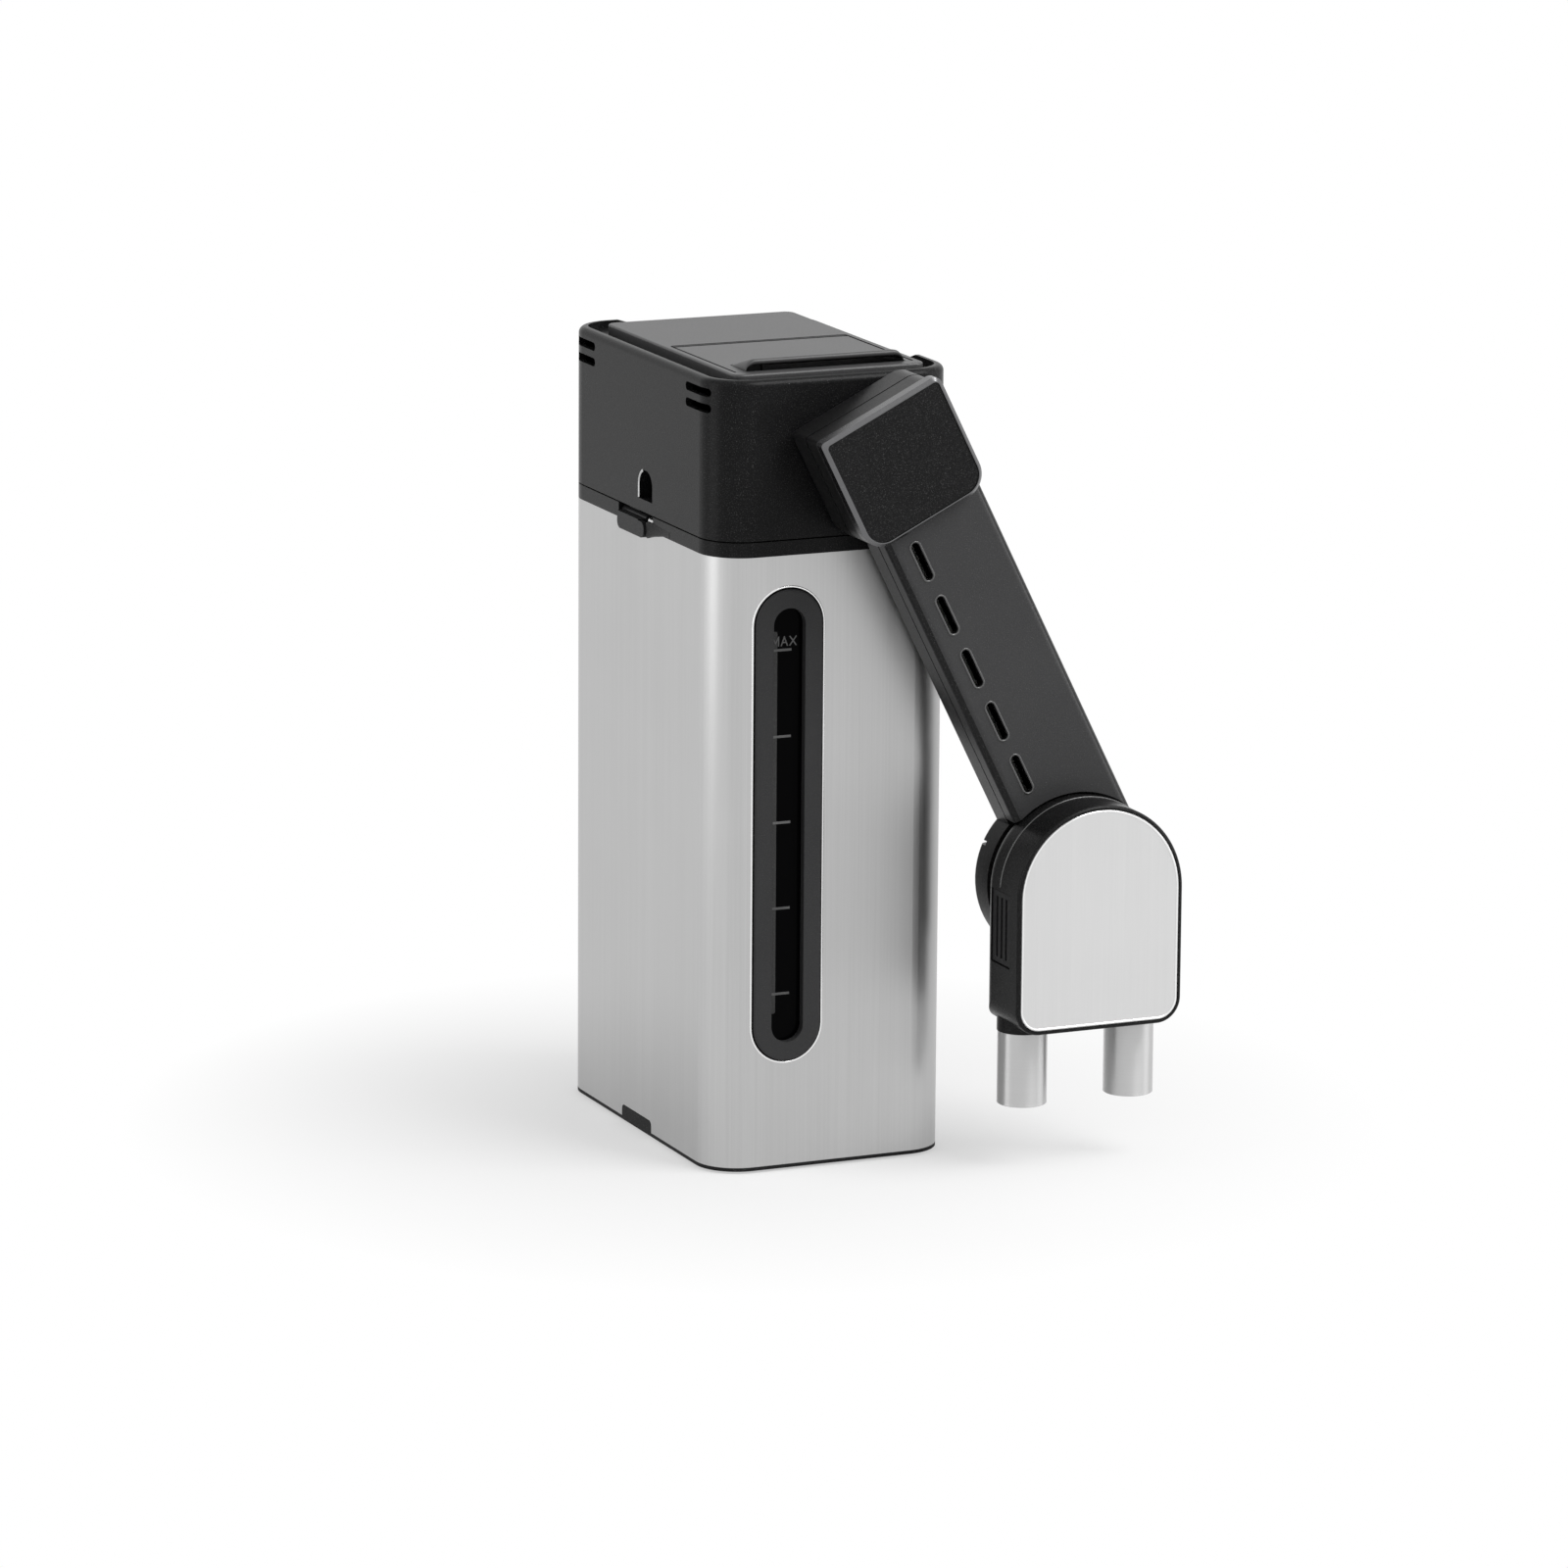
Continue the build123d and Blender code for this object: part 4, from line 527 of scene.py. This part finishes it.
# a rubber made near-black and laid in gaps: painted shade
paintedGapShade = dict(rubber, specular=0.05, dark=(0.002, 0.002, 0.002), light=(0.005, 0.005, 0.005))
paintedHighlightFinish = brushedSteel("paintedHighlightSteel", paintedHighlightSteel)
paintedGapShadeFinish = mouldedPlastic("paintedGapShade", paintedGapShade)
around = roundedOutline(boxCorners(*windowLip["box"]), (windowLip["radius"],) * 4)
origin = (0, windowLip["face"], 0)
rim = closedTrim(around, windowLip["rim"], origin, front)
addPiece("windowLip", [rim], paintedHighlightFinish, "tank")
gapShadeBead = closedTrim(around, windowLip["gapShadeBead"], origin, front)
addPiece("windowGapShade", [gapShadeBead], paintedGapShadeFinish, "tank")

# lighter grey strip behind the left edge of the window opening
windowEdgeStrip = {
    "box": (-0.0253, 0.0594, -0.0226, 0.2035),
    "radius": 0.0008,
    "steps": 6,
    "face": -0.0706,
    "section": ((0, -0.00005), (0, 0.00006), (-0.0001, 0.0001)),
}
stripGrey = dict(headPlastic, grain=2600, dark=(0.035, 0.035, 0.035), light=(0.065, 0.065, 0.065), rough=0.5)
around = roundedOutline(boxCorners(*windowEdgeStrip["box"]), (windowEdgeStrip["radius"],) * 4, windowEdgeStrip["steps"])
strip = skin(loft(around, windowEdgeStrip["section"], (0, windowEdgeStrip["face"], 0), **front), False)
addPiece("windowEdgeStrip", [strip], mouldedPlastic("stripGrey", stripGrey), "tank")

# rolled edge of the spout's face plate, a real bead in steel lightened past the plate's as a painted
# highlight
plateEdge = {
    "half": 0.03195,
    "drop": 0.04955,
    "corner": 0.00785,
    "steps": 24,
    "face": -0.1191,
    "roll": bead(-0.0005, 0, 0.00045, 0.0003),
}
half, corner = plateEdge["half"], plateEdge["corner"]
around = roundedOutline(
    boxCorners(elbow["x"] - half, elbow["z"] - plateEdge["drop"], elbow["x"] + half, elbow["z"] + half),
    (corner, corner, half - slack, half - slack), plateEdge["steps"],
)
edge = closedTrim(around, plateEdge["roll"], (0, plateEdge["face"], 0), front)
addPiece("plateEdge", [edge], paintedHighlightFinish, "spout")

# raised rims round the slots down the arm
slotRim = {
    "lean": 26.5,
    "aside": -0.0014,
    "first": 0.0412,
    "pitch": 0.0231,
    "count": 5,
    "long": 0.0156,
    "wide": 0.0034,
    "steps": 8,
    "face": -0.0985,
    "roll": bead(0.0004, 0, 0.0004, 0.0003),
}
rimPlastic = dict(
    headPlastic, grain=1600, rough=0.25, specular=0.9, dark=(0.03, 0.03, 0.03), light=(0.045, 0.045, 0.045)
)


# one slot's rim: a bead round an upright long hole, turned by the arm's lean about the elbow
def slotTrim(look, low):
    lean, half = math.radians(look["lean"]), look["wide"] / 2
    axes = {
        "across": (math.cos(lean), 0, math.sin(lean)),
        "upward": (-math.sin(lean), 0, math.cos(lean)),
        "depth": (0, -1, 0),
    }
    corners = boxCorners(look["aside"] - half, low, look["aside"] + half, low + look["long"])
    around = roundedOutline(corners, (half - slack,) * 4, look["steps"])
    return closedTrim(around, look["roll"], (elbow["x"], look["face"], elbow["z"]), axes)


rims = [slotTrim(slotRim, slotRim["first"] + q * slotRim["pitch"]) for q in range(slotRim["count"])]
addPiece("slotRims", rims, mouldedPlastic("rimPlastic", rimPlastic), "arm")

# painted highlight: a lighter satin bead on the far side and half the top of the probe opening, the part of
# its edge that catches light; a bead along part of the outline
socketPaintedHighlight = {
    "box": (-0.0003, 0.2426, 0.0123, 0.2538),
    "round": 0.0058,
    "foot": 0.0005,
    "face": -0.048,
    "steps": 10,
    "leftOut": 2,  # points of the top's arc
    "footPoints": 3,
    "roll": bead(0.0001, 0, 0.0006, 0.0004),
}
lipPaintedHighlight = dict(smallSteel, dark=(0.35, 0.35, 0.35), light=(0.5, 0.5, 0.5))
radii = (socketPaintedHighlight["foot"], socketPaintedHighlight["foot"], socketPaintedHighlight["round"], socketPaintedHighlight["round"])
around = roundedOutline(boxCorners(*socketPaintedHighlight["box"]), radii, socketPaintedHighlight["steps"])
count = len(around[0])
kept = np.r_[count - socketPaintedHighlight["steps"] + socketPaintedHighlight["leftOut"] : count, 0 : socketPaintedHighlight["footPoints"]]
lip = openTrim(tuple(part[kept] for part in around), socketPaintedHighlight["roll"], (socketPaintedHighlight["face"], 0, 0), left)
addPiece("socketPaintedHighlight", [lip], brushedSteel("lipPaintedHighlight", lipPaintedHighlight), "head")

# painted shade in the lid along the flap's two sides and back, where its gap lies: a near-black bead along
# three sides of a frame
flapGapShade = {
    "box": (-0.03535, -0.0600, 0.03535, 0.0006),
    "top": 0.2987,
    "round": 0.0012,
    "sharp": 0.00001,
    "steps": 6,
    "roll": bead(0, 0, 0.0004, 0.00012),
}
radii = (flapGapShade["sharp"], flapGapShade["sharp"], flapGapShade["round"], flapGapShade["round"])
around = roundedOutline(boxCorners(*flapGapShade["box"]), radii, flapGapShade["steps"])
around = tuple(np.roll(part, -flapGapShade["steps"], 0)[flapGapShade["steps"] - 1 :] for part in around)
gapShadeBead = openTrim(around, flapGapShade["roll"], (0, 0, flapGapShade["top"]), above)
addPiece("flapGapShade", [gapShadeBead], paintedGapShadeFinish, "head")

# rolled ends of the two tubes: a bead round a circle
tubeLip = {
    "x": (0.06495, 0.10865),
    "y": -0.0995,
    "z": 0.0243,
    "radius": 0.0088,
    "steps": 64,
    "roll": bead(0, 0.0003, 0.00055, 0.00055),
}
rays = circleRays(np.linspace(0, 2 * math.pi, tubeLip["steps"], endpoint=False))
around = (rays * tubeLip["radius"], rays)
rings = [closedTrim(around, tubeLip["roll"], (x, tubeLip["y"], tubeLip["z"]), above) for x in tubeLip["x"]]
addPiece("tubeLips", rings, nodes["supply_tube"].data.materials[0], "spout")

# moulded ridge over the spout's shoulder, where its two shells meet: a bead along an arc, in plastic far
# lighter than the spout's as a painted highlight
spoutSeam = {
    "radius": 0.0336,
    "y": -0.1035,
    "from": 4,
    "to": 176,
    "steps": 72,
    "roll": bead(0, 0, 0.0003, 0.0004),
}
rays = circleRays(np.radians(np.linspace(spoutSeam["from"], spoutSeam["to"], spoutSeam["steps"])))
origin = (elbow["x"], spoutSeam["y"], elbow["z"])
ridge = openTrim((rays * spoutSeam["radius"], rays), spoutSeam["roll"], origin, front)
addPiece("spoutSeam", [ridge], mouldedPlastic("ridgePaintedHighlight", rimPlastic), "spout")

# finger pull on the flap: a hooked section of y and share of the height, drawn along x
flapPull = {
    "x": (-0.0310, 0.0320),
    "foot": 0.29865,
    "rise": 0.0043,
    "round": 0.004,
    "least": 0.03,
    "steps": 72,
    "section": (
        (-0.0440, 0.0), (-0.0475, 0.35), (-0.0520, 0.72), (-0.0565, 0.95), (-0.0585, 1.0), (-0.0595, 0.93),
        (-0.0597, 0.78), (-0.0595, 0.60), (-0.0588, 0.52), (-0.0560, 0.50), (-0.0500, 0.48), (-0.0480, 0.30),
        (-0.0476, 0.0),
    ),
}


# the section at every x, denser at both ends, where its height falls in a quarter circle to a least share
def pullRows(look):
    x0, x1 = look["x"]
    x = (x0 + x1) / 2 - (x1 - x0) / 2 * np.cos(np.linspace(0, math.pi, look["steps"]))
    gap = np.clip(np.minimum(x - x0, x1 - x) / look["round"], 0, 1)
    tall = np.maximum(np.sqrt(1 - (1 - gap) ** 2), look["least"])
    section = np.array(look["section"])
    y = np.repeat(section[None, :, 0], look["steps"], 0)
    z = look["foot"] + look["rise"] * tall[:, None] * section[None, :, 1]
    return np.stack((np.repeat(x[:, None], y.shape[1], 1), y, z), -1)


pull = skin(pullRows(flapPull), False)
addPiece("flapPull", [pull], nodes["fill_flap"].data.materials[0], "flap")

# flare of the collar beside the latch
collarFlare = {
    "y": (-0.0088, -0.0290),
    "x": -0.048,
    "top": 0.2352,
    "low": 0.2320,
    "drop": 0.0031,
    "proud": 0.0012,
    "sunk": 0.0003,
    "edge": 0.0006,
    "least": 0.01,
    "steps": 32,
}


# a low section: its drop and its thickness fall with the square of the way left along y, to a least share
def flareRows(look):
    s = np.linspace(0, 1, look["steps"])[:, None]
    y = look["y"][0] + (look["y"][1] - look["y"][0]) * s
    fall = np.maximum((1 - s) ** 2, look["least"])
    low, out = look["low"] - look["drop"] * fall, look["x"] - look["proud"] * fall
    inner = np.full_like(s, look["x"] + look["sunk"])
    top = np.full_like(s, look["top"])
    halfway = (inner + out) / 2
    x = np.hstack((inner, halfway, out, out, out, halfway, inner))
    z = np.hstack((low, low, low + look["edge"], (low + top) / 2, top - look["edge"], top, top))
    return np.stack((x, np.repeat(y, x.shape[1], 1), z), -1)


flare = skin(flareRows(collarFlare), False)
addPiece("collarFlare", [flare], nodes["tank_collar"].data.materials[0], "tank")
print("pieces added")


# floor, soft lamps and a pale room
room = {
    "half": 9.0,
    "drop": 0.0003,  # keeps the floor out of the base's own plane
    "floor": 0.80,
    "fibre": 60,
    "fibreTone": 0.985,
    "near": 0.07,
    "far": 0.24,
    "nearShare": 0.5,
    "ambient": 0.34,
}
white = (1, 1, 1, 1)


def seenRays(t):  # 1 for rays from the camera and from mirroring or clear surfaces
    seen = t.add("LightPath", out="Is Camera Ray").atLeast(t.add("LightPath", out="Is Glossy Ray"))
    return seen.atLeast(t.add("LightPath", out="Is Transmission Ray"))


# pale paper that turns to plain white with the distance from the object, so that the shadow near it stays
def addFloor(look):
    mesh = bpy.data.meshes.new("floor")
    corners = np.array(boxCorners(-look["half"], -look["half"], look["half"], look["half"]))
    level = np.full(len(corners), -look["drop"])
    mesh.from_pydata(np.column_stack((corners, level)).tolist(), [], [(0, 1, 2, 3)])
    floor = bpy.data.objects.new("floor", mesh)
    scene.collection.objects.link(floor)
    t = newFinish("floorPaper")
    fibre = t.noise(look["fibre"], detail=4.0)
    tone = t.blend(fibre, (look["floor"],) * 3, (look["floor"] * look["fibreTone"],) * 3)
    paper = t.add("BsdfDiffuse", None, {"Color": tone})
    glow = t.add("Emission", None, {"Color": white, "Strength": 1.0})
    reach = t.add("VectorMath", {"operation": "LENGTH"}, {0: t.place()}, out="Value")
    ramp = {0: reach - look["near"], 1: 1 / (look["far"] - look["near"])}
    share = t.add("Math", {"operation": "MULTIPLY", "use_clamp": True}, ramp)
    share = share * (1 - look["nearShare"]) + look["nearShare"]
    shown = t.add("MixShader", None, {0: seenRays(t) * share, 1: paper, 2: glow})
    t.add("OutputMaterial", None, {"Surface": shown})
    mesh.materials.append(t.owner)


def addRoom(look):
    t = Tree(bpy.data.worlds.new("paleRoom"))
    scene.world = t.owner
    light = t.add("Background", None, {"Color": white, "Strength": look["ambient"]})
    shown = t.add("Background", None, {"Color": white, "Strength": 1.0})
    both = t.add("MixShader", None, {0: seenRays(t), 1: light, 2: shown})
    t.add("OutputWorld", None, {"Surface": both})


# each lamp: where it hangs, what it is aimed at, its width and height, its watts
lamps = {
    "top": {
        "place": (0.50, -0.60, 1.05), "aim": (0, -0.05, 0.05), "size": (0.7, 0.7), "power": 11.0,
    },
    "leftStrip": {
        "place": (-0.60, -0.01, 0.34), "aim": (0, -0.07, 0.17), "size": (0.28, 0.60), "power": 0.80,
    },
    "rightStrip": {
        "place": (0.74, -0.35, 0.32), "aim": (0.08, -0.1, 0.12), "size": (0.40, 0.62), "power": 1.1,
    },
}


def addLamp(name, look):
    data = bpy.data.lights.new(name + "Lamp", "AREA")
    data.shape = "RECTANGLE"
    data.size, data.size_y = look["size"]
    data.energy = look["power"]
    lamp = bpy.data.objects.new(name + "Lamp", data)
    scene.collection.objects.link(lamp)
    aim = Vector(look["aim"]) - Vector(look["place"])
    turn = aim.to_track_quat("-Z", "Y").to_matrix().to_4x4()
    lamp.matrix_world = Matrix.Translation(look["place"]) @ turn
    lamp.visible_camera = False


addFloor(room)
addRoom(room)
for lampName, lampLook in lamps.items():
    addLamp(lampName, lampLook)
print("floor, room and", len(lamps), "lamps set")
